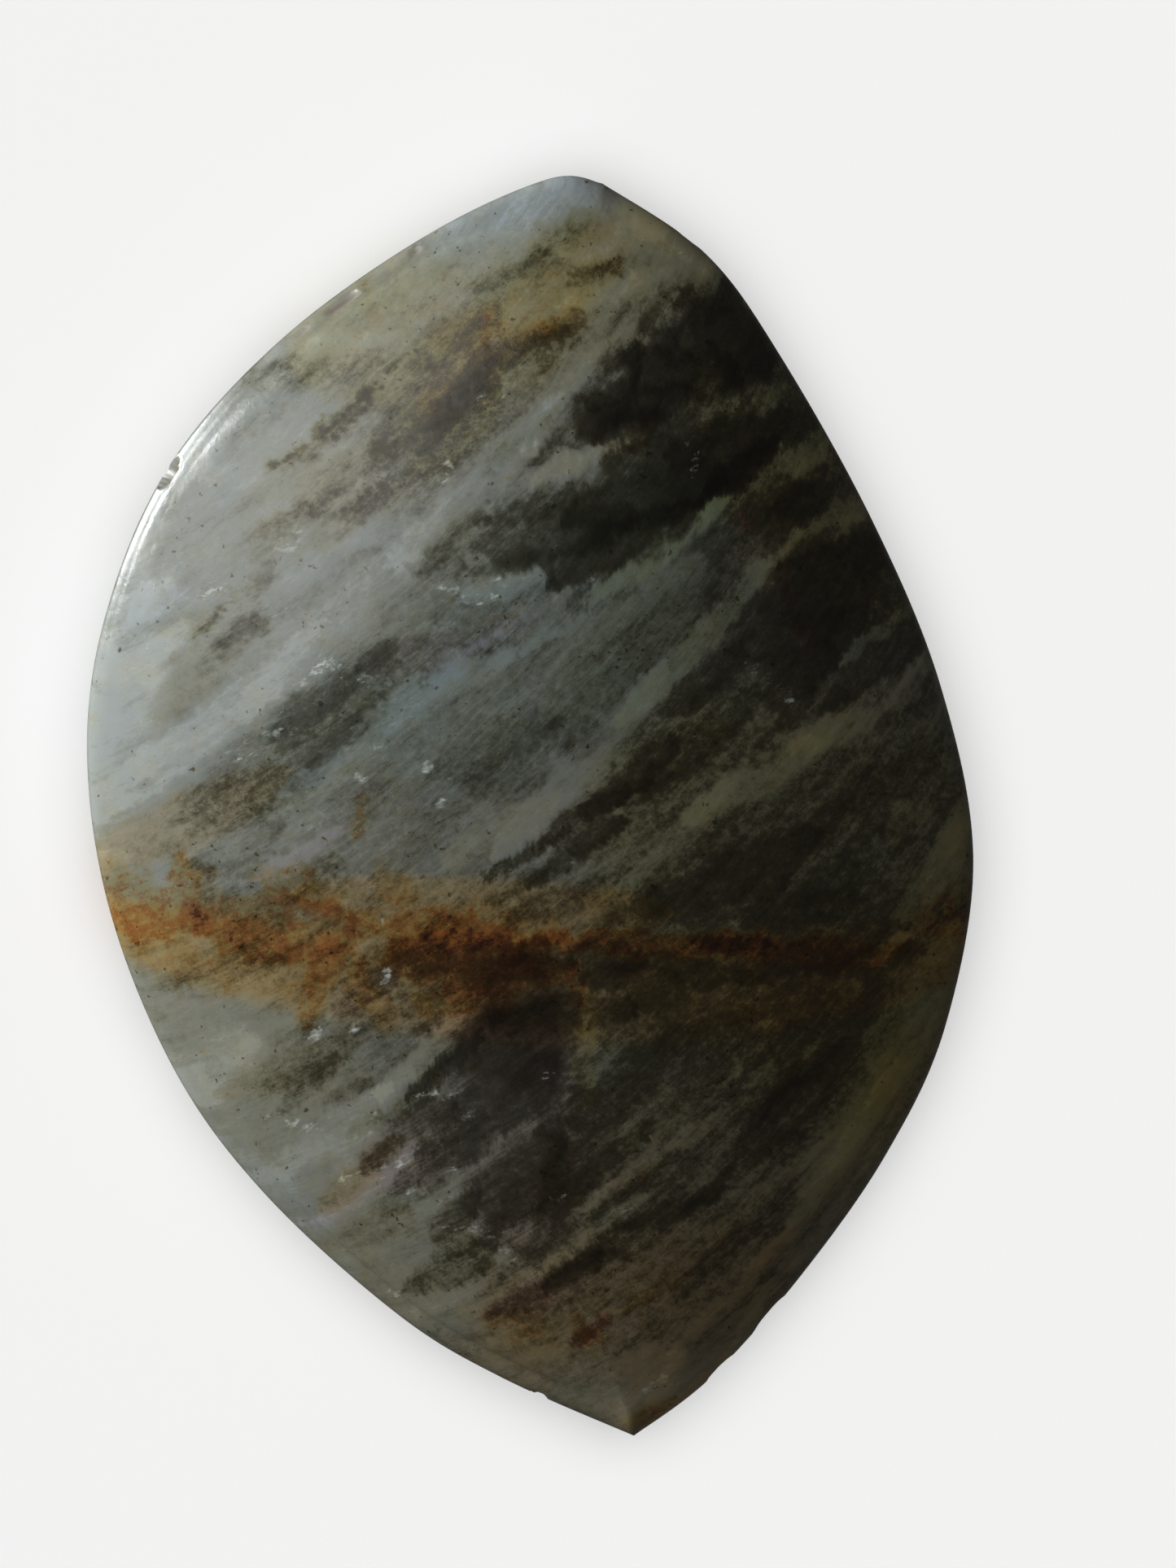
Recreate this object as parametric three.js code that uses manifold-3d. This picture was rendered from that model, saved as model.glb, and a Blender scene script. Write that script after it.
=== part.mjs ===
// A polished labradorite cabochon: a leaf-shaped, low-domed stone with a flat sawn back.
// Millimetres, +Z up. The stone lies on its flat back, with its long axis along Y and its sharper tip
// towards -Y. The origin is on the back, at the middle of the stone's length and width.
import * as THREE from "three";
import { mergeVertices } from "three/addons/utils/BufferGeometryUtils.js";
import Module from "manifold-3d";

const wasm = await Module();
wasm.setup();

// The girdle's outline in plan: two smooth sides that meet in a corner at each tip. The points run
// counter-clockwise.
const BOTTOM_TIP = [3.3, -20.0];
const TOP_TIP = [2.3, 19.85];
const RIGHT_SIDE = [
  [5.75, -18.15],
  [8.7, -14.8],
  [11.35, -11.0],
  [13.2, -7.0],
  [14.1, -1.6],
  [13.05, 3.9],
  [10.9, 9.1],
  [8.0, 14.3],
  [5.6, 17.6],
];
const LEFT_SIDE = [
  [0.6, 20.0],
  [-3.3, 18.2],
  [-7.85, 14.95],
  [-11.4, 11.0],
  [-13.4, 6.5],
  [-14.1, 2.0],
  [-13.4, -3.2],
  [-11.3, -8.4],
  [-8.4, -12.35],
  [-4.2, -16.15],
  [-0.9, -18.15],
];

// The section, from the back up. Distances in from the outline are those halfway along the stone.
const THICKNESS = 6.2; // back to the top of the dome
const BEVEL = 0.4; // 45 degree bevel where the back meets the girdle
const GIRDLE_TOP = 1.6; // height of the widest place, where the girdle turns over into the shoulder
const GIRDLE_LEAN = 0.15; // how far the girdle leans out between the bevel and its top
const SHOULDER_WIDTH = 0.55; // plan width of the rounded shoulder between girdle and dome
const SHOULDER_TOP = 2.45; // height at which the shoulder meets the dome
const DOME_TURN = THREE.MathUtils.degToRad(30); // angle that the dome's arc turns through
const HALF_WIDTH = 14.1; // distance from the middle out to the girdle, half the stone's width
const RIDGE_FADE = 5; // power by which the ridges from the two tips fade towards the middle
const RIDGE_SOFTENING = 10.0; // length along the outline over which the middle of the dome is rounded

// Fineness of the faceting.
const SIDE_SEGMENTS = 62; // facets round each of the two sides, from tip to tip
const GIRDLE_RINGS = 2;
const SHOULDER_RINGS = 4;
const DOME_RINGS = 20;
const CHIP_DETAIL = 3; // subdivisions of the round cutter that takes a chip out

// Chips and worn hollows, each a bite out of the polished surface. "at" is the middle of its mouth,
// "along" half its length along the rim, "in" how far it reaches in towards the middle of the stone and
// "down" how far it reaches up and down.
const CHIPS = [
  { at: [-11.4, 10.5, 1.75], along: 0.65, in: 0.26, down: 0.5 }, // broken rim on the left
  { at: [-5.98, 15.98, 2.3], along: 0.68, in: 0.18, down: 0.24 }, // crevice on the upper left shoulder
  { at: [-7.25, 15.1, 2.25], along: 0.36, in: 0.1, down: 0.15 }, // its shorter neighbour
  { at: [-3.65, 17.65, 2.15], along: 0.2, in: 0.12, down: 0.16 }, // pit near the top
  { at: [5.07, 18.08, 1.5], along: 0.7, in: 0.09, down: 1.9 }, // worn hollows in the rim
  { at: [10.63, 9.75, 1.5], along: 0.8, in: 0.07, down: 1.9 },
  { at: [7.62, -16.17, 1.5], along: 0.75, in: 0.1, down: 1.9 },
  { at: [6.05, -17.9, 1.5], along: 0.6, in: 0.09, down: 1.9 },
  { at: [0.35, -18.72, 1.2], along: 0.35, in: 0.12, down: 0.8 },
];

// One side of the outline, from one tip to the other, without its last point.
function side(from, points, to) {
  const curve = new THREE.SplineCurve([from, ...points, to].map(([x, y]) => new THREE.Vector2(x, y)));
  return curve.getSpacedPoints(SIDE_SEGMENTS).slice(0, -1);
}

// The whole outline, moved so that its box is centred on the origin.
function girdleOutline() {
  const points = [...side(BOTTOM_TIP, RIGHT_SIDE, TOP_TIP), ...side(TOP_TIP, LEFT_SIDE, BOTTOM_TIP)];
  const middle = new THREE.Box2().setFromPoints(points).getCenter(new THREE.Vector2());
  return points.map((point) => point.sub(middle));
}

function neighbour(points, index, step) {
  return points[(index + step + points.length) % points.length];
}

// A ring of the stone's surface: the outline drawn in towards the middle, at a height.
function ring(outline, inset, height) {
  const share = 1 - inset / HALF_WIDTH;
  return outline.map(({ x, y }) => new THREE.Vector3(x * share, y * share, height));
}

// The outline with its corners rounded off, each point averaged with those on both sides of it, and
// stretched back to the size that it had.
function softened(outline) {
  const spacing = outline[0].distanceTo(outline[1]);
  const reach = Math.round(RIDGE_SOFTENING / 2 / spacing);
  const average = (points) =>
    points.map((_, index) => {
      const sum = new THREE.Vector2();
      for (let step = -reach; step <= reach; step += 1) sum.add(neighbour(points, index, step));
      return sum.divideScalar(2 * reach + 1);
    });
  const rounded = average(average(outline));
  const before = new THREE.Box2().setFromPoints(outline);
  const after = new THREE.Box2().setFromPoints(rounded);
  const stretch = before.getSize(new THREE.Vector2()).divide(after.getSize(new THREE.Vector2()));
  const middle = after.getCenter(new THREE.Vector2());
  return rounded.map((point) => point.sub(middle).multiply(stretch));
}

// The bevel and the steep girdle.
function girdleRings(outline) {
  const rings = [ring(outline, BEVEL + GIRDLE_LEAN, 0)];
  for (let step = 0; step <= GIRDLE_RINGS; step += 1) {
    const share = step / GIRDLE_RINGS;
    rings.push(ring(outline, GIRDLE_LEAN * (1 - share), THREE.MathUtils.lerp(BEVEL, GIRDLE_TOP, share)));
  }
  return rings;
}

// The rounded shoulder, a curve that leaves straight up and arrives along the dome's edge.
function shoulderRings(outline) {
  const radius = HALF_WIDTH - SHOULDER_WIDTH;
  const slope = ((THICKNESS - SHOULDER_TOP) / radius) * (1 + 1 / Math.cos(DOME_TURN));
  const start = new THREE.Vector2(0, GIRDLE_TOP);
  const turn = new THREE.Vector2(0, SHOULDER_TOP - slope * SHOULDER_WIDTH);
  const end = new THREE.Vector2(SHOULDER_WIDTH, SHOULDER_TOP);
  const section = new THREE.QuadraticBezierCurve(start, turn, end);
  return section
    .getPoints(SHOULDER_RINGS)
    .slice(1)
    .map(({ x, y }) => ring(outline, x, y));
}

// The dome above the shoulder: an arc in section, stretched to the dome's rise. Its rings shrink towards
// the middle, and lose the outline's corners as they do.
function domeRings(outline) {
  const soft = softened(outline);
  const rings = [];
  for (let step = 1; step < DOME_RINGS; step += 1) {
    const angle = DOME_TURN * (1 - step / DOME_RINGS);
    const radius = Math.sin(angle) / Math.sin(DOME_TURN);
    const lift = (Math.cos(angle) - Math.cos(DOME_TURN)) / (1 - Math.cos(DOME_TURN));
    const points = outline.map((point, index) => point.clone().lerp(soft[index], 1 - radius ** RIDGE_FADE));
    const inset = HALF_WIDTH - (HALF_WIDTH - SHOULDER_WIDTH) * radius;
    rings.push(ring(points, inset, THREE.MathUtils.lerp(SHOULDER_TOP, THICKNESS, lift)));
  }
  return rings;
}

// A closed skin over the rings: a flat floor on the first one and a fan up to the apex on the last.
function skin(rings, apex) {
  const count = rings[0].length;
  const triangles = [];
  const back = rings[0].map(({ x, y }) => new THREE.Vector2(x, y));
  THREE.ShapeUtils.triangulateShape(back, []).forEach(([a, b, c]) => triangles.push(a, c, b));
  rings.slice(1).forEach((_, level) => {
    for (let index = 0; index < count; index += 1) {
      const low = level * count + index;
      const lowNext = level * count + ((index + 1) % count);
      triangles.push(low, lowNext, lowNext + count, low, lowNext + count, low + count);
    }
  });
  const top = (rings.length - 1) * count;
  for (let index = 0; index < count; index += 1) {
    triangles.push(top + index, top + ((index + 1) % count), rings.length * count);
  }
  const geometry = new THREE.BufferGeometry().setFromPoints([...rings.flat(), apex]);
  geometry.setIndex(triangles);
  return geometry;
}

function toSolid(geometry) {
  geometry.deleteAttribute("normal");
  geometry.deleteAttribute("uv");
  const merged = mergeVertices(geometry);
  const vertProperties = merged.attributes.position.array;
  const triVerts = new Uint32Array(merged.index.array);
  return new wasm.Manifold(new wasm.Mesh({ numProp: 3, vertProperties, triVerts }));
}

function toGeometry(solid) {
  const { vertProperties, triVerts } = solid.getMesh();
  const geometry = new THREE.BufferGeometry();
  geometry.setAttribute("position", new THREE.BufferAttribute(vertProperties, 3));
  geometry.setIndex(new THREE.BufferAttribute(triVerts, 1));
  geometry.computeVertexNormals();
  return geometry;
}

// The rounded cutter for one chip. It is turned so that its length runs along the rim beside it.
function chipCutter(chip, outline) {
  const mouth = new THREE.Vector2(chip.at[0], chip.at[1]);
  const distances = outline.map((point) => point.distanceTo(mouth));
  const nearest = distances.indexOf(Math.min(...distances));
  const rim = neighbour(outline, nearest, 1).clone().sub(neighbour(outline, nearest, -1));
  const cutter = new THREE.IcosahedronGeometry(1, CHIP_DETAIL);
  cutter.scale(chip.along, chip.in, chip.down);
  cutter.rotateZ(rim.angle());
  cutter.translate(...chip.at);
  return toSolid(cutter);
}

function stoneGeometry() {
  const outline = girdleOutline();
  const rings = [...girdleRings(outline), ...shoulderRings(outline), ...domeRings(outline)];
  const whole = toSolid(skin(rings, new THREE.Vector3(0, 0, THICKNESS)));
  return toGeometry(CHIPS.reduce((solid, chip) => solid.subtract(chipCutter(chip, outline)), whole));
}

const polishedStone = new THREE.MeshStandardMaterial({ color: 0x6c6d63, roughness: 0.22, metalness: 0 });

const stone = new THREE.Mesh(stoneGeometry(), polishedStone);
stone.name = "labradorite_stone";

const cabochon = new THREE.Group();
cabochon.add(stone);

export default cabochon;
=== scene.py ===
"""Dresses a polished labradorite cabochon and sets it in a small daylight studio.

The stone is one piece. Its surface follows one rule: a leaf-shaped outline, a steep girdle, a rounded
shoulder, and a dome on which the ridges from the two tips fade out. Geometry Nodes loft it from the outline
and a section, take the chips out of the rim and wear the polish. Its pattern lies in the whole body of the
stone: milky cleavage bands and dark lenses that run up to the right, a rusty vein across the middle, specks
and glints. Wide zones under the pattern make the stone paler on the left and darker on the right, partly
its own tone and partly painted light and painted shade. Places in the pattern are in millimetres, and
settings in the panel are in metres.
"""

import math
from typing import NamedTuple

import bpy
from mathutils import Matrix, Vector


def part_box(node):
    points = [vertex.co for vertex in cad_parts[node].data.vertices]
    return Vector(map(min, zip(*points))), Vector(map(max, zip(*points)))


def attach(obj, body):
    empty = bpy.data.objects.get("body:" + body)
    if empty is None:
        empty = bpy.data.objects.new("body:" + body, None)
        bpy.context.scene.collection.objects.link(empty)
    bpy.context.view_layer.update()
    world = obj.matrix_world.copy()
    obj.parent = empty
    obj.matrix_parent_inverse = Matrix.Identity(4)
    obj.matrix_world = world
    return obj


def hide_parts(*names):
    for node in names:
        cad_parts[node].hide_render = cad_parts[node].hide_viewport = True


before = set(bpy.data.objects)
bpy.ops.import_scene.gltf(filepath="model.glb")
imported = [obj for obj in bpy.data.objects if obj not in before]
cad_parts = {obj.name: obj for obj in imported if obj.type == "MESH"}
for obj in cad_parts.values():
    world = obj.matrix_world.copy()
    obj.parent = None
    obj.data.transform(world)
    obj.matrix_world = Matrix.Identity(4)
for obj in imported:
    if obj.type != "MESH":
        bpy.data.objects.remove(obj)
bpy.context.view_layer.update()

bl_info = {
    "name": "Labradorite Cabochon",
    "version": (1, 0, 0),
    "blender": (4, 5, 0),
    "location": "View3D > Sidebar > Cabochon",
    "description": "Makes a polished leaf-shaped labradorite cabochon and its daylight studio",
    "category": "Object",
}

PIECE = "polished_stone"
NODE = "labradorite_stone"
BODY = "root"
MM = 0.001
STONE_LOW, STONE_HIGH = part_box(NODE)
THICKNESS = STONE_HIGH[2] - STONE_LOW[2]
HALF_WIDTH = (STONE_HIGH[0] - STONE_LOW[0]) / 2

# The girdle's outline in plan, in millimetres: two smooth sides that meet in a corner at each tip.
BOTTOM_TIP = (3.3, -20.0)
TOP_TIP = (2.3, 19.85)
RIGHT_SIDE = (
    (5.75, -18.15),
    (8.7, -14.8),
    (11.35, -11.0),
    (13.2, -7.0),
    (14.1, -1.6),
    (13.05, 3.9),
    (10.9, 9.1),
    (8.0, 14.3),
    (5.6, 17.6),
)
LEFT_SIDE = (
    (0.6, 20.0),
    (-3.3, 18.2),
    (-7.85, 14.95),
    (-11.4, 11.0),
    (-13.4, 6.5),
    (-14.1, 2.0),
    (-13.4, -3.2),
    (-11.3, -8.4),
    (-8.4, -12.35),
    (-4.2, -16.15),
    (-0.9, -18.15),
)

# Chips and worn hollows: where the mouth is, half its length along the rim, how far it reaches in and how
# far it reaches up and down, all in millimetres.
CHIPS = (
    {"at": (-11.4, 10.5, 1.75), "along": 0.65, "in": 0.26, "down": 0.5},
    {"at": (-5.98, 15.98, 2.3), "along": 0.68, "in": 0.18, "down": 0.24},
    {"at": (-7.25, 15.1, 2.25), "along": 0.36, "in": 0.1, "down": 0.15},
    {"at": (-3.65, 17.65, 2.15), "along": 0.2, "in": 0.12, "down": 0.16},
    {"at": (5.07, 18.08, 1.5), "along": 0.7, "in": 0.09, "down": 1.9},
    {"at": (10.63, 9.75, 1.5), "along": 0.8, "in": 0.07, "down": 1.9},
    {"at": (7.62, -16.17, 1.5), "along": 0.75, "in": 0.1, "down": 1.9},
    {"at": (6.05, -17.9, 1.5), "along": 0.6, "in": 0.09, "down": 1.9},
    {"at": (0.35, -18.72, 1.2), "along": 0.35, "in": 0.12, "down": 0.8},
)

# The rock's layers: the way the streaks run from above, and how far the layers move sideways for each
# millimetre up. The dome's top, foot and reach, in millimetres, say where a place in the pattern that is
# given from above meets the surface.
STREAK_ANGLE = math.radians(41)
LAYER_SLOPE = (0.4, -0.46)
DOME_TOP = THICKNESS / MM
DOME_FOOT = 2.45
DOME_REACH = (13.5, 19.6)

# Fineness of the surface: points on each side of the outline, and rings from the middle of the back to the
# top. The outline's length is measured in so many steps from each of its given points to the next.
OUTLINE_STEPS = 40
SIDE_SEGMENTS = 360
BACK_RINGS = 6
BEVEL_RINGS = 2
GIRDLE_RINGS = 5
SHOULDER_RINGS = 9
DOME_RINGS = 117


def length(name, description, default):
    """A panel setting that holds a length in metres."""
    return bpy.props.FloatProperty(
        name=name, description=description, default=default, precision=5, unit="LENGTH", subtype="DISTANCE"
    )


class CabochonShape(bpy.types.PropertyGroup):
    """Sizes of the cut stone."""

    thickness: length("Thickness", "Height of the dome's top above the flat back", THICKNESS)
    bevel: length("Bevel", "Width of the bevel round the back", 0.4 * MM)
    girdle_top: length("Girdle top", "Height of the stone's widest place", 1.6 * MM)
    girdle_lean: length("Girdle lean", "How far the girdle leans out on its way up", 0.15 * MM)
    shoulder_width: length("Shoulder width", "Width of the rounded shoulder from above", 0.55 * MM)
    shoulder_top: length("Shoulder top", "Height at which the shoulder meets the dome", 2.45 * MM)
    ridge_softening: length("Ridge softening", "Length over which the dome rounds the tips", 10 * MM)
    dome_turn: bpy.props.FloatProperty(
        name="Dome turn",
        description="Angle that the dome's arc turns through before it is stretched to size",
        default=math.radians(30),
        unit="ROTATION",
        subtype="ANGLE",
    )
    ridge_fade: bpy.props.FloatProperty(
        name="Ridge fade",
        description="Power by which the ridges from the two tips fade towards the middle",
        default=14,
        min=1,
    )


class CabochonWear(bpy.types.PropertyGroup):
    """How worn the polish is."""

    wave_height: length("Wave height", "Height of the slow waves that hand polishing leaves", 0.02 * MM)
    wave_size: length("Wave size", "Distance from one slow wave to the next", 5 * MM)
    pit_radius: length("Pit radius", "Radius of a small pit in the polish", 0.2 * MM)
    pit_depth: length("Pit depth", "Depth of a small pit in the polish", 0.02 * MM)
    pit_spacing: length("Pit spacing", "Smallest distance between two pits", 1.6 * MM)
    seed: bpy.props.IntProperty(name="Seed", description="Places the pits", default=4)


def colour(name, description, default):
    """A panel setting that holds a colour."""
    return bpy.props.FloatVectorProperty(
        name=name, description=description, default=(*default, 1), size=4, min=0, max=1, subtype="COLOR"
    )


class CabochonColours(bpy.types.PropertyGroup):
    """Colours of the rock and what is in it."""

    rock: colour("Rock", "The plain grey rock, before its bands", (0.085, 0.086, 0.069))
    ochre: colour("Ochre", "What a thin rust stain lets through", (1.0, 0.83, 0.46))
    rust: colour("Rust", "What a thicker rust stain lets through", (0.85, 0.53, 0.48))
    dark_rust: colour("Dark rust", "What the heart of the rust lets through", (0.38, 0.3, 0.32))
    speck: colour("Speck", "What a speck lets through", (0.35, 0.3, 0.24))
    glint: colour("Glint", "A crack or fleck that catches the light", (0.45, 0.48, 0.45))
    chip: colour("Chip", "The bare rock in a chip of the rim", (0.12, 0.1, 0.075))


class CabochonStage(bpy.types.PropertyGroup):
    """The floor, the room and how the camera frames the stone."""

    floor: colour("Floor", "Colour of the plain floor", (0.8, 0.8, 0.8))
    room: colour("Room", "Colour of the room's own light", (1.0, 0.97, 0.9))
    room_level: bpy.props.FloatProperty(
        name="Room level", description="Strength of the room's own light", default=0.07, min=0
    )
    backdrop: colour("Backdrop", "Colour behind the floor, as the camera sees it", (0.97, 0.97, 0.96))
    backdrop_level: bpy.props.FloatProperty(
        name="Backdrop level", description="Brightness behind the floor", default=0.9, min=0
    )
    camera_distance: length("Camera distance", "From the camera down to the stone's rim", 250 * MM)
    view_height: length("View height", "What the picture's height covers at the rim", 49.92 * MM)


class Lens(NamedTuple):
    """A soft-edged ellipse in the rock, seen from above.

    It runs from its start to its end and is so wide across its middle, in millimetres. Its tone is in
    stops: +1 makes the rock twice as pale and -1 half as pale. Its softness is the share its edge takes up.
    """

    start: tuple
    end: tuple
    width: float
    tone: float
    tint: str
    softness: float


def lenses(softness=0.6, **rows_by_tint):
    """Lenses by tint, from rows: x and y of start and end, width, tone and, for some, a softness."""
    made = []
    for tint, rows in rows_by_tint.items():
        for start_x, start_y, end_x, end_y, width, tone, *own in rows:
            made.append(Lens((start_x, start_y), (end_x, end_y), width, tone, tint, *(own or [softness])))
    return made


# How much of its tone a lens gives the rock, and the stops of red, green and blue that a tint adds to it.
LENS_STRENGTH = 0.87
TINTS = {
    "plain": (0.0, 0.0, 0.0),
    "tan": (0.06, 0.0, -0.12),
    "olive": (0.0, 0.02, -0.08),
    "moss": (0.06, 0.0, -0.4),
    "teal": (-0.12, 0.0, 0.02),
    "brown": (0.16, -0.04, -0.3),
    "rusty": (0.4, 0.0, -0.55),
    "ochre": (0.1, 0.0, -0.3),
    "blue": (-0.06, 0.0, 0.08),
    "violet": (0.06, -0.05, 0.06),
    "red": (0.4, -0.2, -0.2),
    "wine": (0.2, -0.14, 0.05),
    "sage": (0.02, 0.05, -0.2),
}

# Wide, soft zones under everything else. The widest make the stone paler on its left and darker on its
# right:
# partly the rock's own tone and partly painted light and painted shade that deepen the fall of the
# daylight.
ZONES = lenses(
    plain=(
        (-16.5, -3.5, -7.0, 14.0, 12.0, 1.0), (-11.0, 11.0, 3.5, 21.5, 8.0, 0.7),
        (-4.5, 7.5, 7.0, 21.0, 7.0, 0.25), (3.0, 16.5, 13.0, 3.0, 9.0, -1.15),
        (1.5, -1.0, 16.5, -5.5, 16.0, -0.9), (-8.0, -4.0, 5.0, 6.5, 9.0, -0.05),
        (-15.5, -3.0, -13.0, 9.0, 4.0, 0.6), (0.5, 2.0, 7.0, 6.5, 4.8, -0.8),
        (-6.5, -9.5, -2.5, -5.0, 2.8, -0.4), (-14.6, -2.5, -13.4, 5.5, 1.4, 0.4),
        (-11.6, -8.0, -8.2, -12.0, 1.6, 0.4), (-10.5, 11.8, -7.0, 14.2, 2.4, -0.5),
        (-2.0, 0.4, 2.4, 2.6, 2.4, -0.45),
    ),
    blue=((-9.6, -11.0, -5.0, -16.0, 2.4, 0.6),),
    brown=((-2.0, -17.0, 12.5, -6.0, 12.0, -0.65), (-3.0, -20.5, 9.0, -14.0, 11.0, 0.45)),
    moss=((2.0, 2.0, 18.0, -8.0, 14.0, 0.0), (5.0, 14.0, 13.0, 6.0, 6.0, 0.0)),
    ochre=((-7.5, 13.6, 6.5, 18.4, 5.0, 0.0),),
    olive=((1.5, -10.5, 4.6, -5.0, 3.0, -0.9), (8.5, -12.5, 13.8, -3.6, 3.2, 0.7)),
    rusty=((-17.0, -2.8, 17.0, -3.6, 4.2, 0.0), (-7.5, -2.7, 4.5, -3.3, 2.6, 0.0)),
    tan=(
        (-14.0, -3.5, -2.0, -17.0, 8.5, 0.75), (8.0, -15.0, 14.5, -5.0, 4.5, 0.7),
        (12.4, -3.2, 14.4, 1.0, 1.6, 0.6), (-7.5, 9.3, 0.8, 14.6, 3.4, -0.75),
        (2.8, 19.8, 6.6, 16.6, 2.4, 0.75),
    ),
    teal=((-5.0, 1.0, 6.0, 10.5, 8.0, 0.0),),
    violet=((-0.6, -4.5, 0.0, -14.5, 5.0, -1.3),),
)

# Smaller places with edges so soft that they only shift the tone.
SOFT_ZONES = lenses(
    softness=0.9,
    plain=(
        (-11.8, -1.2, -7.4, -4.2, 2.2, -0.4), (0.6, 19.9, 4.6, 18.0, 2.0, 0.4),
        (-10.9, -10.2, -8.2, -7.4, 1.9, 0.45), (-8.8, -13.4, -5.8, -10.6, 2.2, 0.4),
        (-4.0, -11.4, -2.7, -10.2, 1.0, 0.6), (0.1, -8.0, 1.8, -9.9, 1.1, 0.4),
        (0.6, -6.2, 1.9, -5.0, 1.0, -0.6), (-8.8, -0.6, -7.0, 0.6, 1.0, -0.5),
        (-5.8, -0.8, -4.8, 0.9, 0.8, -0.3), (-7.0, 1.2, -3.6, 4.2, 1.0, -0.5),
        (-10.8, 10.8, -6.6, 13.8, 2.0, -0.35), (-9.9, 4.6, -7.8, 7.4, 1.0, -0.6),
        (-0.2, 10.6, 1.5, 13.0, 1.0, -0.6), (-1.9, 7.3, 0.9, 7.9, 0.9, -0.6),
        (5.3, 9.3, 7.1, 11.0, 0.9, -0.7), (-12.2, 3.6, -10.8, 6.0, 1.0, 0.5),
        (-3.2, 3.4, -0.4, 4.8, 1.0, 0.5), (7.0, 7.8, 8.0, 6.0, 1.2, 0.6), (8.4, 11.2, 10.6, 9.2, 1.2, 0.5),
        (3.6, 18.2, 6.4, 16.2, 1.6, 0.45), (2.2, 12.2, 3.4, 14.0, 1.0, 0.45),
        (-6.0, -11.8, -4.4, -10.0, 1.1, 0.9), (-4.6, -13.0, -2.2, -11.2, 1.5, -0.7),
        (0.4, -15.0, 2.4, -13.4, 1.2, -0.6), (2.8, -16.2, 7.4, -12.2, 0.9, -0.55),
        # Near the bottom tip, the pale soft zone right of the ridge is partly the rock's own tan and partly
        # painted light on the ridge's shaded right side.
        (2.2, -13.4, 5.2, -12.2, 0.9, -0.4), (3.2, -20.0, 6.8, -17.0, 1.1, 0.8),
        (-5.6, -5.0, 1.6, -6.6, 2.4, -0.3), (6.4, -5.6, 11.4, -3.6, 2.2, -0.45),
        (2.2, -3.9, 4.0, -2.3, 1.1, -0.5), (13.0, 4.6, 13.8, 2.4, 1.0, 0.7),
        (10.0, -1.0, 11.6, 1.0, 1.0, 0.4), (10.4, -7.6, 11.6, -5.4, 1.0, 0.45),
        (5.0, 13.5, 12.0, 4.0, 5.0, -0.2),
    ),
    brown=((-3.6, 12.2, -0.8, 14.4, 1.8, -0.1),),
    moss=((-3.8, 10.2, -0.8, 13.2, 1.6, -0.7),),
    ochre=((-2.8, 14.4, 3.0, 17.2, 2.0, -0.3),),
    tan=(
        (-7.0, -14.0, 1.0, -18.8, 3.4, 0.0), (-6.8, 8.0, -4.2, 12.0, 1.8, -0.6),
        (-5.8, 12.4, -0.8, 15.8, 1.8, -0.6),
    ),
    teal=((-8.6, 2.0, -4.4, 5.2, 1.4, -0.5),),
)

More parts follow.
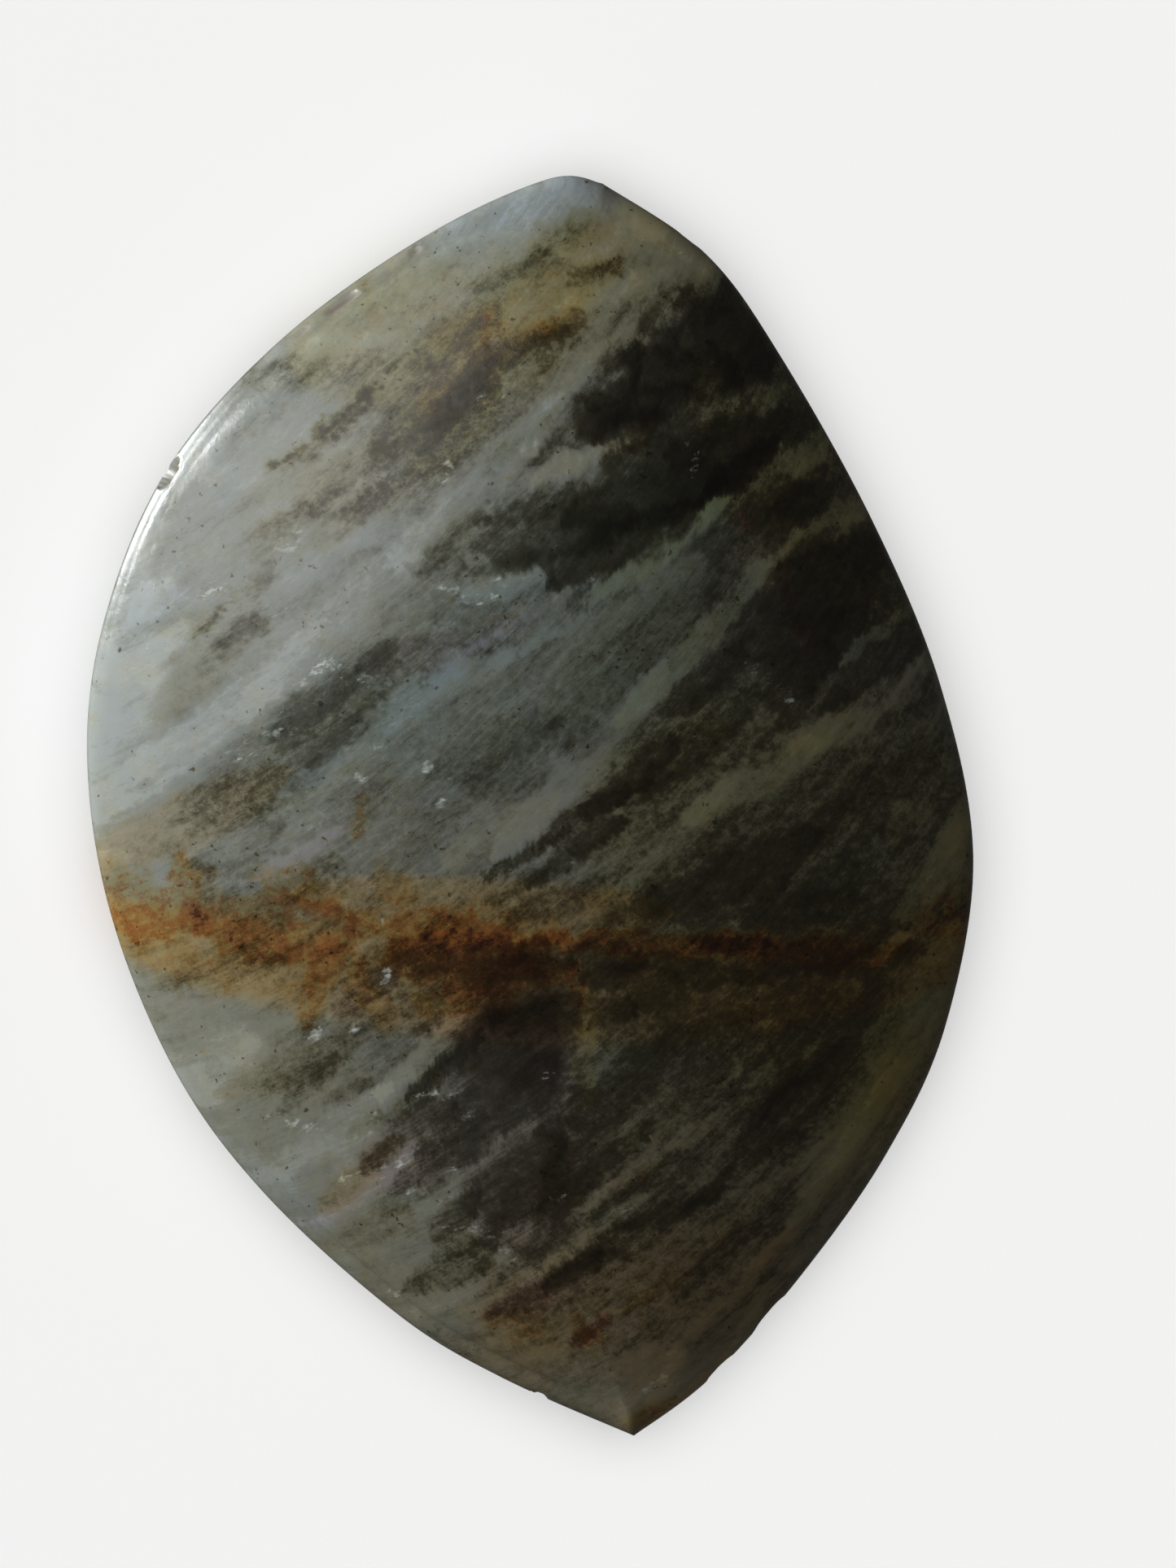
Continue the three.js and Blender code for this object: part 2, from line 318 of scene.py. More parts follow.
# Milky cleavage bands.
BANDS = lenses(
    plain=(
        (-14.8, -0.7, -6.4, 5.9, 1.3, 1.0, 0.4), (-10.8, 5.2, -4.4, 9.0, 0.9, 0.45, 0.5),
        (-9.4, 2.9, -2.6, 9.5, 1.4, 0.6), (-4.6, 7.4, 1.2, 13.2, 1.2, 0.9),
        (-0.4, 11.0, 4.8, 16.6, 1.5, 1.1), (-14.6, 1.4, -10.6, 5.6, 2.2, 0.45),
        (-1.2, -1.7, 4.4, 4.6, 1.5, 1), (2.6, -2.6, 6.8, 1.1, 1.1, 0.75),
        (-8.6, 13.85, -4.2, 14.9, 0.7, 0.6), (0.6, 15.9, 4.6, 16.7, 0.7, 0.9),
        (-8.2, -12.4, -4.2, -8.8, 1.3, 1.0, 0.8), (-11.4, -10.2, -8.6, -7.0, 2.4, 0.9, 0.9),
        (-9.2, -8.0, -6.6, -6.4, 0.8, 0.45), (-4.5, -17.5, 0.6, -12.6, 1.1, 0.7),
        (-1.6, -17.8, 2.6, -13.4, 0.7, 0.65), (-0.4, -15.4, 3.6, -12.2, 0.55, 1.15),
        (1.2, -8.9, 5.4, -5.6, 0.9, 0.5), (-1.0, -14.6, 1.2, -12.9, 0.9, 0.9),
        (4.0, 15.3, 5.2, 16.1, 0.8, 0.7), (-4.2, 7.0, -3.2, 8.2, 0.8, 0.7), (-2.0, 6.7, 0.6, 7.2, 0.9, 0.9),
        (1.6, -12.4, 4.4, -10.0, 0.6, 1.0), (0.8, 2.0, 2.2, 3.0, 0.8, 0.6),
        (10.2, 2.2, 11.4, 3.4, 0.9, 0.8), (10.2, -1.8, 11.8, -0.8, 1.0, 0.7),
        (-14.0, 3.0, -11.0, 7.2, 1.6, 0.35), (1.4, -1.3, 2.8, -0.3, 0.6, 0.6),
        (-6.5, 9.2, -4.3, 10.6, 0.4, 0.6), (-8.2, 11.2, -7.6, 12.4, 0.35, 0.5),
        (-6.6, 10.6, -5.2, 11.6, 0.4, 0.5), (-1.8, -11.4, -0.9, -10.4, 0.7, 0.6),
        (-0.9, -14.2, 0.4, -12.8, 0.7, 0.6), (1.0, -10.4, 2.3, -9.6, 0.8, 0.8),
        (-2.6, -17.2, -1.0, -16.3, 0.8, 0.5), (0.6, 17.8, 2.4, 19.2, 1.1, 0.5),
        (-2.2, 17.8, 1.9, 20.2, 1.7, 0.45, 0.5), (4.2, 15.2, 5.2, 15.8, 0.7, 0.7),
        (2.2, 13.0, 3.4, 13.7, 0.8, 0.7), (-0.2, 9.7, 1.2, 10.2, 0.7, 0.6),
        (-2.4, 8.2, -1.2, 8.8, 0.6, 0.7), (0.6, 7.4, 1.5, 7.9, 0.6, 0.7),
        (-12.8, 6.0, -11.0, 7.1, 1.0, 0.6),
    ),
    blue=(
        (-7.9, 0.2, -1.2, 5.6, 1.1, 0.5, 0.5), (-3.2, 3.8, 3.0, 7.2, 1.3, 0.85),
        (-3.2, 17.6, 2.6, 20.0, 2.4, 0.6, 0.7),
    ),
    # The brown band at the bottom tip, right of its ridge, is partly the rock's own band and partly painted
    # light on the ridge's shaded right side.
    brown=((3.6, -20.3, 7.0, -17.4, 1.5, 1.0), (7.3, 6.6, 8.2, 7.5, 0.7, 0.6)),
    moss=((1.8, -5.4, 1.7, -9.8, 0.9, 0.45),),
    olive=(
        (0.4, 2.9, 5.6, 7.6, 2.8, 0.4), (9.6, 4.3, 13.0, 6.6, 0.55, 1),
        (8.0, -13.6, 12.4, -7.2, 1.2, 0.9, 0.5), (-2.4, -12.0, 1.4, -9.0, 0.7, 0.8),
        (5.0, 15.0, 6.6, 12.0, 1.0, 0.9), (7.0, 12.5, 8.5, 12.9, 0.8, 0.8),
        (9.4, -11.6, 12.4, -5.6, 1.8, 0.5, 0.8), (2.4, -11.0, 7.0, -8.0, 0.7, 0.5),
        (6.8, -8.9, 7.9, -7.5, 0.6, 0.7), (9.6, 8.2, 11.4, 9.6, 0.8, 0.5),
        (8.6, 10.2, 10.2, 11.0, 0.8, 0.6), (9.8, 8.2, 11.4, 9.0, 0.8, 0.6),
    ),
    sage=(
        (1.6, 6.3, 6.4, 9.7, 0.95, 1.25, 0.7), (5.2, 8.9, 10.4, 11.7, 1.4, 1),
        (2.6, 2.5, 7.9, 8.0, 1.1, 1.2),
    ),
    # Near the bottom tip, the tan lenses right of x = 2.6 and below y = -17 are partly the rock's own tan
    # and ochre band and partly painted light that lifts the ridge's shaded right side.
    tan=(
        (4.6, -0.6, 10.2, 3.1, 1.6, 1.2), (8.0, 1.5, 12.6, 4.3, 1.2, 1.0),
        (-6.2, 15.9, -3.2, 17.6, 0.8, 0.5), (0.8, 17.4, 5.2, 18.9, 1.4, 0.8, 0.8),
        (-0.2, 10.1, 3.2, 11.5, 0.7, 1.45), (-4.9, -9.3, -1.5, -6.2, 0.9, 1.3),
        (1.2, -12.9, 6.4, -9.2, 0.7, 1), (5.0, -10.6, 9.4, -7.0, 0.7, 0.45),
        (2.2, -16.4, 7.4, -12.4, 0.5, 0.5), (4.4, -17.4, 8.2, -13.4, 0.7, 0.65),
        (5.4, -13.6, 9.8, -10.2, 0.7, 0.6), (10.6, -9.6, 12.0, -7.9, 0.8, 0.6, 0.5),
        (11.6, -3.6, 15.0, 0.6, 2.2, 0.8), (-2.9, -1.8, 1.2, 0.4, 1.4, 0.45),
        (0.2, -3.9, 3.6, -2.3, 0.8, 0.5), (2.6, -20.0, 5.0, -17.0, 1.9, 1.25),
        (3.4, -20.3, 6.8, -17.9, 1.4, 1.8), (-2.2, -16.4, 0.2, -14.6, 0.8, 0.7),
        (6.2, 7.6, 9.4, 8.8, 1.3, 0.6), (7.8, 7.8, 11.4, 9.3, 1.3, 0.9), (10.4, -5.0, 15.0, -3.6, 1.6, 0.3),
        (2.6, -18.2, 3.8, -17.0, 1.2, 0.7), (11.0, -0.8, 12.8, 0.0, 1.4, 0.7),
        (6.0, -8.6, 8.4, -6.2, 0.9, 0.6), (6.0, -19.0, 7.6, -15.2, 0.9, 0.8),
        (11.2, 2.8, 13.4, 4.8, 1.1, 1.1), (13.0, -1.6, 14.2, -0.4, 1.0, 0.5),
        (10.7, -4.9, 11.9, -4.0, 0.8, 1.0), (-6.7, -4.5, -5.8, -3.9, 0.7, 0.6),
        (1.6, -3.2, 3.0, -2.2, 0.7, 0.6), (13.0, -3.6, 14.2, -2.0, 0.9, 0.7),
        (-14.0, -2.2, -12.6, -1.4, 0.9, 0.8), (0.2, -14.9, 1.8, -13.3, 0.5, 0.7, 0.9),
        (3.6, -19.2, 5.0, -17.0, 0.9, 0.6), (7.2, -14.6, 8.6, -13.0, 0.7, 0.6),
        (6.2, -16.8, 7.4, -15.2, 0.8, 0.7), (-0.6, -17.9, 1.2, -17.1, 0.9, 0.6),
        (5.2, 16.0, 6.9, 17.4, 1.1, 1.0, 0.8), (2.8, 15.9, 4.2, 17.1, 1.0, 0.6),
        (2.9, 11.3, 3.8, 12.1, 0.7, 0.7), (5.6, 11.6, 5.9, 13.8, 0.6, 0.6),
    ),
    violet=((-7.0, -14.2, -3.0, -10.4, 0.7, 0.8), (-8.8, -2.3, -5.2, -0.3, 0.6, 0.65)),
)

# Darker glassy lenses and lines between the bands.
DARK_LENSES = lenses(
    plain=(
        (-10.9, -0.8, -4.2, 5.1, 2.6, -0.9), (-8.2, 2.0, -5.4, 4.4, 1.5, -0.6),
        (-9.0, 5.4, -4.6, 8.3, 0.9, -0.65), (3.4, 15.4, 8.6, 14.0, 2.4, -1.45),
        (2.8, 14.0, 6.8, 13.6, 1.9, -1.55, 0.7), (1.5, 12.5, 5.2, 12.9, 1.6, -1.8, 0.7),
        (4.2, 11.0, 8.6, 12.0, 1.7, -1.45, 0.7), (-1.8, 8.0, 3.6, 9.2, 1.7, -1.3),
        (0.8, 9.0, 6.4, 10.4, 2.1, -1.8, 0.7), (6.2, 9.1, 9.8, 10.4, 1.0, -1.15),
        (7.2, 6.4, 11.8, 7.8, 3.0, -1.3, 0.7), (6.2, 4.8, 10.0, 5.7, 1.6, -1.05),
        (-3.2, 0.8, 1.0, 3.2, 1.7, -0.45), (1.6, -0.4, 4.8, 2.2, 1.1, -1.45),
        (4.9, 3.2, 8.6, 4.9, 1.2, -0.8), (3.2, -3.4, 9.4, -0.7, 2.0, -1.1, 0.7),
        (8.4, -0.9, 13.4, 2.0, 1.6, -0.5), (-7.8, -9.9, -5.8, -8.2, 0.6, -0.8),
        (-4.0, -9.4, -1.2, -7.0, 0.75, -1.45), (-3.4, -11.0, -1.2, -9.6, 0.9, -0.6),
        (0.6, -12.8, 1.0, -10.2, 1.1, -1.05), (1.8, -14.6, 3.6, -13.2, 0.9, -0.8),
        (2.0, -12.8, 4.8, -10.6, 0.8, -0.8), (4.2, -15.7, 7.4, -12.8, 0.9, -0.8),
        (4.9, -12.6, 6.4, -11.4, 0.8, -0.5), (6.8, -9.7, 8.7, -7.8, 0.7, -0.8),
        (1.8, -14.2, 2.6, -13.6, 0.6, -1.0), (3.0, -13.2, 5.9, -12.3, 1.0, -0.9),
        (6.4, -10.8, 10.0, -7.2, 0.9, -0.8), (5.8, -11.6, 8.8, -10.0, 0.9, -0.8),
        (3.4, -10.4, 5.2, -8.9, 0.9, -0.4), (6.6, -16.0, 9.2, -13.0, 0.7, -0.5),
        (1.4, 11.4, 3.5, 14.6, 2.0, -2.1), (-0.2, 10.6, 2.2, 12.4, 1.0, -0.9),
        (0.2, 7.2, 5.6, 9.4, 1.7, -1.9), (5.4, 9.7, 8.0, 11.2, 1.1, -2.1),
        (8.0, 11.2, 10.2, 12.4, 0.9, -0.8), (1.0, 6.2, 3.6, 7.2, 1.0, -0.7),
        (-9.4, 10.6, -5.0, 13.6, 2.4, -0.4), (-10.2, 5.0, -8.2, 6.0, 0.8, -0.6),
        (-8.4, 4.0, -5.4, 5.4, 0.8, -0.4), (-3.4, 3.8, -0.2, 5.0, 0.9, -0.7),
        (-0.2, -2.6, 3.0, -0.3, 0.9, -1.1), (4.0, 2.8, 7.0, 5.0, 1.3, -0.7),
        (1.4, -5.6, 3.8, -4.9, 1.0, -1.5), (1.2, -12.3, 4.0, -9.8, 1.2, -0.9),
        (1.8, 11.4, 4.4, 12.3, 1.4, -1.7), (7.4, 9.0, 10.2, 10.0, 0.9, -0.9),
        (7.2, 3.1, 9.8, 4.9, 1.5, -1.3), (-1.0, 5.0, 3.0, 7.2, 1.0, -0.8),
        (-1.6, 8.8, 2.0, 10.0, 0.9, -1.0), (5.6, 15.2, 7.4, 16.4, 1.0, -1.2),
        (6.0, 13.0, 8.2, 13.9, 0.8, -1.0), (-10.8, 0.5, -6.6, 2.7, 1.7, -0.2),
        (-1.0, -3.6, 3.4, -2.2, 1.3, -0.8), (-1.6, -6.7, 3.6, -6.2, 1.3, -1.3),
        (-3.7, -8.7, -1.9, -7.1, 1.0, -1.2), (7.0, 1.2, 9.0, 3.6, 1.0, -0.9),
        (2.8, 0.0, 4.6, 1.2, 0.7, -0.9), (4.2, -5.4, 9.0, -5.1, 0.8, -0.9),
        (-3.3, -13.9, -1.5, -12.3, 1.2, -1.3), (6.6, -10.2, 8.8, -8.2, 0.6, -0.9),
        (4.6, -12.8, 6.6, -11.4, 0.7, -0.7), (-8.4, -9.4, -6.0, -7.8, 1.0, -0.7),
        (6.4, -3.6, 10.6, -2.8, 1.6, -1.0), (8.8, -5.0, 12.6, -4.6, 1.2, -0.8),
        (9.2, 4.8, 11.0, 6.2, 1.2, -0.9), (1.6, -13.9, 3.4, -12.6, 0.8, -0.7),
        (10.6, -9.9, 12.6, -6.8, 0.6, -0.5), (-6.2, -9.8, -4.8, -8.6, 0.8, -0.8),
        (-8.3, -7.7, -6.7, -6.9, 0.9, -0.7), (1.3, -1.5, 2.9, -0.3, 0.8, -1.1),
        (8.7, 2.3, 10.3, 3.7, 1.0, -1.0), (0.1, -5.6, 1.2, -4.6, 0.9, -0.8),
        (-1.5, -6.9, 0.5, -6.1, 1.0, -0.9), (6.9, -3.0, 8.3, -2.1, 0.8, -0.8),
        (-0.4, -4.4, 5.6, -5.0, 1.0, -1.1), (-13.8, 3.7, -13.3, 4.0, 0.5, -0.7),
        (-12.9, 0.4, -12.1, 0.9, 0.5, -0.6), (-1.0, -9.4, 0.0, -8.4, 1.0, -0.7),
        (-10.6, -2.2, -7.6, -0.4, 1.6, -0.8), (-11.6, -5.8, -7.6, -4.6, 2.0, -0.7, 0.9),
        (-13.8, -5.2, -10.6, -4.2, 1.4, -0.4, 0.9), (-7.4, -7.4, -6.2, -6.6, 0.8, -0.6),
        (-3.6, -11.4, -2.2, -10.6, 0.9, -0.9), (0.9, 14.4, 2.1, 15.3, 0.9, -0.6),
        (0.1, 11.5, 1.4, 12.5, 0.8, -0.8), (1.9, 10.7, 4.9, 11.4, 1.0, -0.9),
        (-3.1, 7.1, -1.9, 7.7, 0.8, -0.8), (-0.9, 7.5, 0.3, 7.9, 0.7, -0.6),
        (-2.2, 4.7, -1.0, 5.4, 0.8, -0.8), (5.7, 12.7, 7.0, 13.4, 0.9, -1.3),
        (1.7, 9.9, 3.1, 10.8, 0.9, -0.9), (6.4, 9.9, 8.2, 11.0, 0.9, -0.8), (6.8, 8.5, 9.8, 9.5, 0.9, -0.8),
        (4.4, 10.6, 5.6, 11.4, 0.8, -0.7), (7.4, 8.0, 8.8, 9.0, 0.8, -0.6),
    ),
    blue=(
        (-3.0, 6.0, 1.2, 7.2, 1.0, -0.5), (-7.6, 0.4, -5.2, 2.8, 1.2, -0.3),
        (8.0, -3.0, 12.4, -0.4, 1.6, -0.45),
    ),
    brown=(
        (-2.0, 13.9, 0.9, 15.3, 1.0, -0.4), (-14.2, -2.0, -7.6, 1.2, 1.9, -0.4),
        (-6.4, -13.4, -4.0, -10.4, 1.1, -0.6, 0.8), (2.8, -15.9, 4.8, -14.9, 0.8, -0.5),
        (0.2, 14.8, 2.0, 15.6, 0.9, -0.6), (-5.4, -5.2, -3.8, -4.2, 0.9, -0.6),
        (-3.4, -4.1, -2.2, -3.6, 0.8, -0.9), (-1.0, -4.9, 0.8, -4.1, 1.0, -1.0),
        (-11.0, -1.6, -9.6, -3.0, 0.9, -0.6),
    ),
    moss=(
        (-8.2, 10.5, -3.5, 14.4, 0.34, -1.1, 0.5), (-6.6, 11.4, -4.4, 13.4, 0.4, -0.8, 0.5),
        (-5.0, 11.0, -0.4, 14.2, 1.5, -0.8, 0.9), (-4.8, 11.0, -1.0, 13.6, 0.45, -0.9),
        (-2.9, 12.4, -0.9, 14.1, 0.7, -0.9), (-3.8, 13.8, -0.6, 15.7, 1.6, -0.6, 0.9),
        (-2.9, 11.8, -1.4, 13.7, 0.8, -0.6),
    ),
    olive=(
        (-11.6, 4.6, -9.4, 6.6, 0.3, -0.8, 0.5), (-6.3, 8.9, -3.2, 11.2, 0.3, -0.9, 0.5),
        (-2.0, 16.1, 0.8, 17.6, 0.7, -0.8, 0.8), (-1.7, 10.2, 0.9, 12.6, 0.6, -0.8),
        (4.0, 16.0, 7.0, 16.4, 0.9, -1.05), (-3.6, 7.3, -1.2, 9.4, 1.2, -1.05, 0.7),
        (-8.8, -0.1, -4.4, 3.6, 2.5, -0.4), (-1.6, -2.3, 1.6, -0.6, 0.45, -1.3, 0.7),
        (-1.6, -3.1, 0.9, -1.9, 0.6, -0.8), (3.4, 0.4, 7.4, 3.7, 1.7, -0.9),
        (-5.6, -10.6, -2.8, -8.9, 0.7, -1.05), (-3.8, -15.8, -0.8, -13.8, 1.4, -1.6),
        (-3.1, -14.6, -1.6, -13.4, 1.1, -1.1), (2.4, -8.0, 7.4, -6.2, 0.9, -0.65),
        (-2.4, 13.5, 1.4, 15.1, 1.0, -0.8), (-3.6, 11.0, -1.2, 13.8, 1.3, -0.4, 0.9),
        (-1.6, 15.8, 2.4, 19.0, 1.2, -0.3, 0.7),
    ),
    red=(
        (1.2, -17.1, 2.6, -16.1, 0.7, -0.8), (6.7, 9.2, 7.2, 8.4, 0.5, 0.1), (7.8, 7.2, 8.3, 6.1, 0.5, 0.3),
        (8.4, 5.8, 8.8, 4.9, 0.5, 0.1),
    ),
    tan=(
        (-12.0, 2.6, -8.2, 7.8, 1.6, -0.75, 0.9), (-12.2, 5.3, -9.6, 6.1, 0.7, -0.4),
        (-9.2, 8.3, -6.8, 9.5, 0.6, -0.65), (-9.0, 7.6, -5.4, 11.2, 1.0, -0.7, 0.8),
        (-9.6, 9.0, -5.0, 12.6, 0.9, -0.5, 0.8), (-6.2, 8.4, -3.4, 10.6, 0.9, -0.5, 0.8),
        (-9.2, 13.2, -4.2, 14.2, 1.0, -0.6), (-0.9, 14.5, 2.3, 15.8, 0.9, -0.5),
        (0.0, 18.0, 3.0, 18.4, 0.9, -0.7), (1.2, 16.7, 3.1, 17.2, 0.6, -0.9),
        (0.2, -1.3, 3.4, 0.7, 0.9, -1.2), (-9.6, -9.6, -5.2, -7.2, 1.6, -0.7, 0.8),
        (-6.4, -14.8, -3.4, -12.6, 1.4, -0.5, 0.8), (-0.5, 16.5, 2.6, 18.6, 1.5, -0.7, 0.9),
        (-8.4, 10.4, -5.4, 12.2, 0.7, -0.7), (1.2, 16.4, 3.4, 17.4, 0.9, -0.6, 0.8),
        (-7.8, -3.0, -5.8, -1.6, 1.1, -0.5), (0.1, 13.8, 1.7, 15.1, 1.0, -0.8),
    ),
    violet=(
        (-5.8, 4.2, 0.2, 5.9, 1.3, -0.45), (-2.0, -7.2, 1.1, -8.6, 2.4, -1, 0.7),
        (-4.6, -12.3, -1.2, -10.9, 0.7, -0.5), (0.4, -15.3, 2.3, -13.9, 1.3, -2.2, 0.8),
        (-4.2, -12.2, -2.6, -10.8, 0.9, -0.6), (-0.4, -16.4, 1.6, -15.2, 0.9, -0.65),
        (-5.2, -11.8, -2.2, -9.2, 1.9, -1.2), (0.4, -5.6, 0.5, -10.6, 1.2, -0.5),
        (-4.2, -4.7, 1.4, -5.0, 1.5, -1.3), (-6.0, -6.8, -3.9, -4.9, 1.1, -0.8),
        (-3.6, -7.3, -0.6, -6.3, 1.2, -0.8),
    ),
    wine=((-1.1, -16.2, 0.7, -15.0, 1.2, -0.6),),
)

# Rust: the vein across the middle, its tendrils and spots. The tone is how much iron there is.
RUST = lenses(
    plain=(
        (-15.4, -4.0, -6.0, -5.2, 3.2, 0.3), (-15.0, -2.8, -10.4, -3.6, 2.8, 0.65),
        (-11.2, -1.4, -10.2, -4.2, 1.0, 0.75), (-10.8, -3.5, -5.0, -4.1, 2.8, 0.8),
        (-8.8, -1.9, -5.8, -3.2, 1.7, 0.5), (-5.4, -1.1, -5.3, 0.6, 0.6, 0.5),
        (-4.9, -1.7, -3.5, -3.2, 1.4, 0.5), (-5.8, -3.6, -0.4, -4.2, 1.7, 0.75),
        (-4.6, -4.6, 1.4, -5.2, 2.4, 0.95), (-2.8, -3.3, 1.2, -4.0, 1.5, 0.5),
        (-7.1, -7.2, -6.0, -4.2, 1.2, 0.6), (-5.6, -4.6, -4.2, -7.3, 1.2, 0.5),
        (-3.8, -6.2, -0.4, -6.0, 1.4, 0.6), (0.0, -4.1, 8.0, -4.3, 1.1, 0.95),
        (5.0, -4.3, 12.0, -4.6, 1.3, 0.95), (12.0, -3.5, 16.0, -3.2, 2.4, 0.6),
        (1.3, -4.9, 1.6, -6.6, 1.0, 0.5), (-5.6, 15.6, -0.6, 15.1, 1.5, 0.2),
        (-3.2, 14.5, -1.0, 15.3, 1.0, 0.15), (-1.8, 14.7, 2.0, 16.7, 1.7, 0.3),
        (2.0, 10.6, 4.2, 12.1, 1.2, 0.35), (-1.2, -16.0, 1.0, -17.0, 1.3, 0.4),
        (1.2, -16.2, 2.4, -17.0, 0.9, 0.5), (2.9, -19.9, 4.7, -18.8, 1.4, 0.6),
    ),
)

# Small cracks and flecks that catch the light. The tone is how bright they are.
GLINTS = lenses(
    plain=(
        (-10.5, 6.6, -9.6, 7.1, 0.5, 0.6), (-8.1, 8.0, -7.0, 8.6, 0.65, 0.6),
        (-8.5, 6.1, -7.6, 6.3, 0.5, 0.6), (-9.7, 6.8, -8.7, 7.1, 0.7, 0.3),
        (-2.9, 10.1, -2.4, 10.8, 0.47, 0.9), (-3.9, 10.0, -3.3, 10.2, 0.41, 0.6),
        (-1.7, 12.6, -0.5, 13.2, 0.75, 0.6), (-3.0, 7.0, -2.1, 6.7, 0.57, 0.8),
        (-2.3, 6.4, -0.9, 6.55, 0.49, 1), (-1.2, 6.9, -0.1, 7.4, 0.7, 0.7),
        (-7.0, 4.2, -5.9, 4.5, 0.42, 1.2), (-6.7, 4.45, -6.2, 4.75, 0.42, 1.1),
        (-5.3, 3.5, -4.9, 4.6, 0.41, 0.7), (-7.5, 3.7, -6.9, 4.2, 0.39, 0.6),
        (-6.1, 3.95, -5.1, 3.9, 0.37, 0.6), (-8.5, 2.3, -7.0, 2.4, 0.39, 0.9),
        (-10.0, 1.75, -8.9, 2.1, 0.42, 0.9), (-9.6, 1.5, -8.4, 1.6, 0.39, 0.7),
        (-4.8, 2.5, -3.2, 3.5, 1.15, 0.3), (-5.0, 1.7, -4.4, 1.9, 0.57, 0.8),
        (-3.45, 1.05, -3.0, 1.4, 0.47, 1.2), (-5.4, 0.7, -5.2, 1.15, 0.47, 1),
        (-2.95, -0.05, -2.55, 0.25, 0.49, 1.2), (-2.55, 0.7, -2.3, 0.9, 0.4, 1),
        (-7.1, -0.7, -5.8, -0.1, 0.7, 0.35), (-5.2, -2.6, -4.7, -2.5, 0.42, 0.9),
        (-4.65, -3.7, -4.45, -3.6, 0.42, 1.2), (-5.5, -4.2, -5.35, -4.05, 0.38, 1.2),
        (-8.8, -5.05, -8.3, -4.85, 0.39, 0.8), (-9.2, -5.8, -8.6, -5.4, 0.6, 0.4),
        (-6.8, -7.7, -6.5, -7.0, 0.47, 1.2), (-5.6, -7.3, -5.2, -6.95, 0.53, 1),
        (-4.6, -5.7, -4.35, -5.1, 0.4, 1.2), (-8.2, -10.2, -7.5, -10.0, 0.47, 0.9),
        (-7.6, -10.2, -6.3, -10.4, 0.47, 1), (-4.9, -10.6, -4.65, -9.7, 0.39, 0.6),
        (-5.9, -12.05, -4.9, -11.8, 0.53, 0.8), (-5.1, -12.0, -3.9, -11.4, 0.47, 0.9),
        (-4.05, -11.6, -3.4, -10.7, 0.45, 0.9), (-3.6, -10.9, -3.0, -10.4, 0.45, 0.9),
        (-3.8, -9.2, -2.0, -9.1, 0.4, 0.9), (-2.3, -9.8, -1.6, -9.6, 0.57, 0.8),
        (-2.5, -11.6, -2.0, -11.2, 0.55, 0.9), (-3.8, -12.45, -3.0, -12.2, 0.42, 0.8),
        (-3.1, -12.7, -2.0, -12.0, 0.8, 0.45), (-2.8, -13.4, -1.2, -13.4, 0.41, 0.7),
        (-1.5, -13.35, -0.1, -14.5, 0.41, 0.7), (-4.1, -16.05, -3.5, -15.75, 0.47, 0.9),
        (4.9, 17.05, 4.95, 17.55, 0.49, 1.2), (5.4, 11.9, 5.9, 14.0, 0.75, 0.3),
        (5.15, 10.2, 5.35, 11.1, 0.39, 1), (4.85, 11.3, 5.1, 11.55, 0.39, 1.2),
        (3.45, 8.45, 3.65, 8.55, 0.38, 1), (1.7, 6.95, 2.1, 7.15, 0.42, 0.8),
        (6.8, 4.5, 8.4, 3.2, 0.65, 0.7), (11.7, 0.45, 11.9, 0.6, 0.41, 1.2),
        (12.45, -2.3, 12.7, -2.1, 0.41, 1.2), (1.25, -1.85, 1.5, -1.6, 0.42, 1),
        (0.3, -8.5, 0.85, -8.3, 0.47, 1), (0.6, -12.3, 1.2, -12.25, 0.37, 1),
        (2.6, -12.7, 3.4, -12.3, 0.53, 0.7), (12.55, -8.2, 12.7, -7.8, 0.4, 1.2),
        (3.5, -18.6, 4.0, -18.25, 0.47, 1.1), (3.9, -18.4, 4.4, -18.0, 0.53, 0.7),
    ),
)


def catmull_rom(points, place):
    """The point at a place along a smooth curve through the points; place counts them from 0."""
    last = len(points) - 1
    start = min(int(place), last - 1)
    share = place - start
    p0, p1, p2, p3 = (points[min(max(start + step, 0), last)] for step in (-1, 0, 1, 2))
    slope_in = (p2 - p0) / 2
    slope_out = (p3 - p1) / 2
    square, cube = share**2, share**3
    return (
        (2 * p1 - 2 * p2 + slope_in + slope_out) * cube
        + (3 * p2 - 3 * p1 - 2 * slope_in - slope_out) * square
        + slope_in * share
        + p1
    )


def evenly_spaced(points, count):
    """The smooth curve through the points as count points at equal distances, without the last one."""
    fine = OUTLINE_STEPS * len(points)
    line = [catmull_rom(points, (len(points) - 1) * step / fine) for step in range(fine + 1)]
    travelled = [0.0]
    for before, after in zip(line, line[1:]):
        travelled.append(travelled[-1] + (after - before).length)
    spaced, reached = [], 0
    for step in range(count):
        wanted = travelled[-1] * step / count
        while travelled[reached + 1] < wanted:
            reached += 1
        share = (wanted - travelled[reached]) / (travelled[reached + 1] - travelled[reached])
        spaced.append(line[reached].lerp(line[reached + 1], share))
    return spaced


def box_of(points):
    """The middle and the size of the points' box."""
    low = Vector((min(point.x for point in points), min(point.y for point in points)))
    high = Vector((max(point.x for point in points), max(point.y for point in points)))
    return (low + high) / 2, high - low


def girdle_outline():
    """The whole outline in metres, counter-clockwise, with its box centred on the origin."""
    outline = []
    for tip, side, far_tip in ((BOTTOM_TIP, RIGHT_SIDE, TOP_TIP), (TOP_TIP, LEFT_SIDE, BOTTOM_TIP)):
        outline += evenly_spaced([Vector(point) * MM for point in (tip, *side, far_tip)], SIDE_SEGMENTS)
    middle, _ = box_of(outline)
    return [point - middle for point in outline]


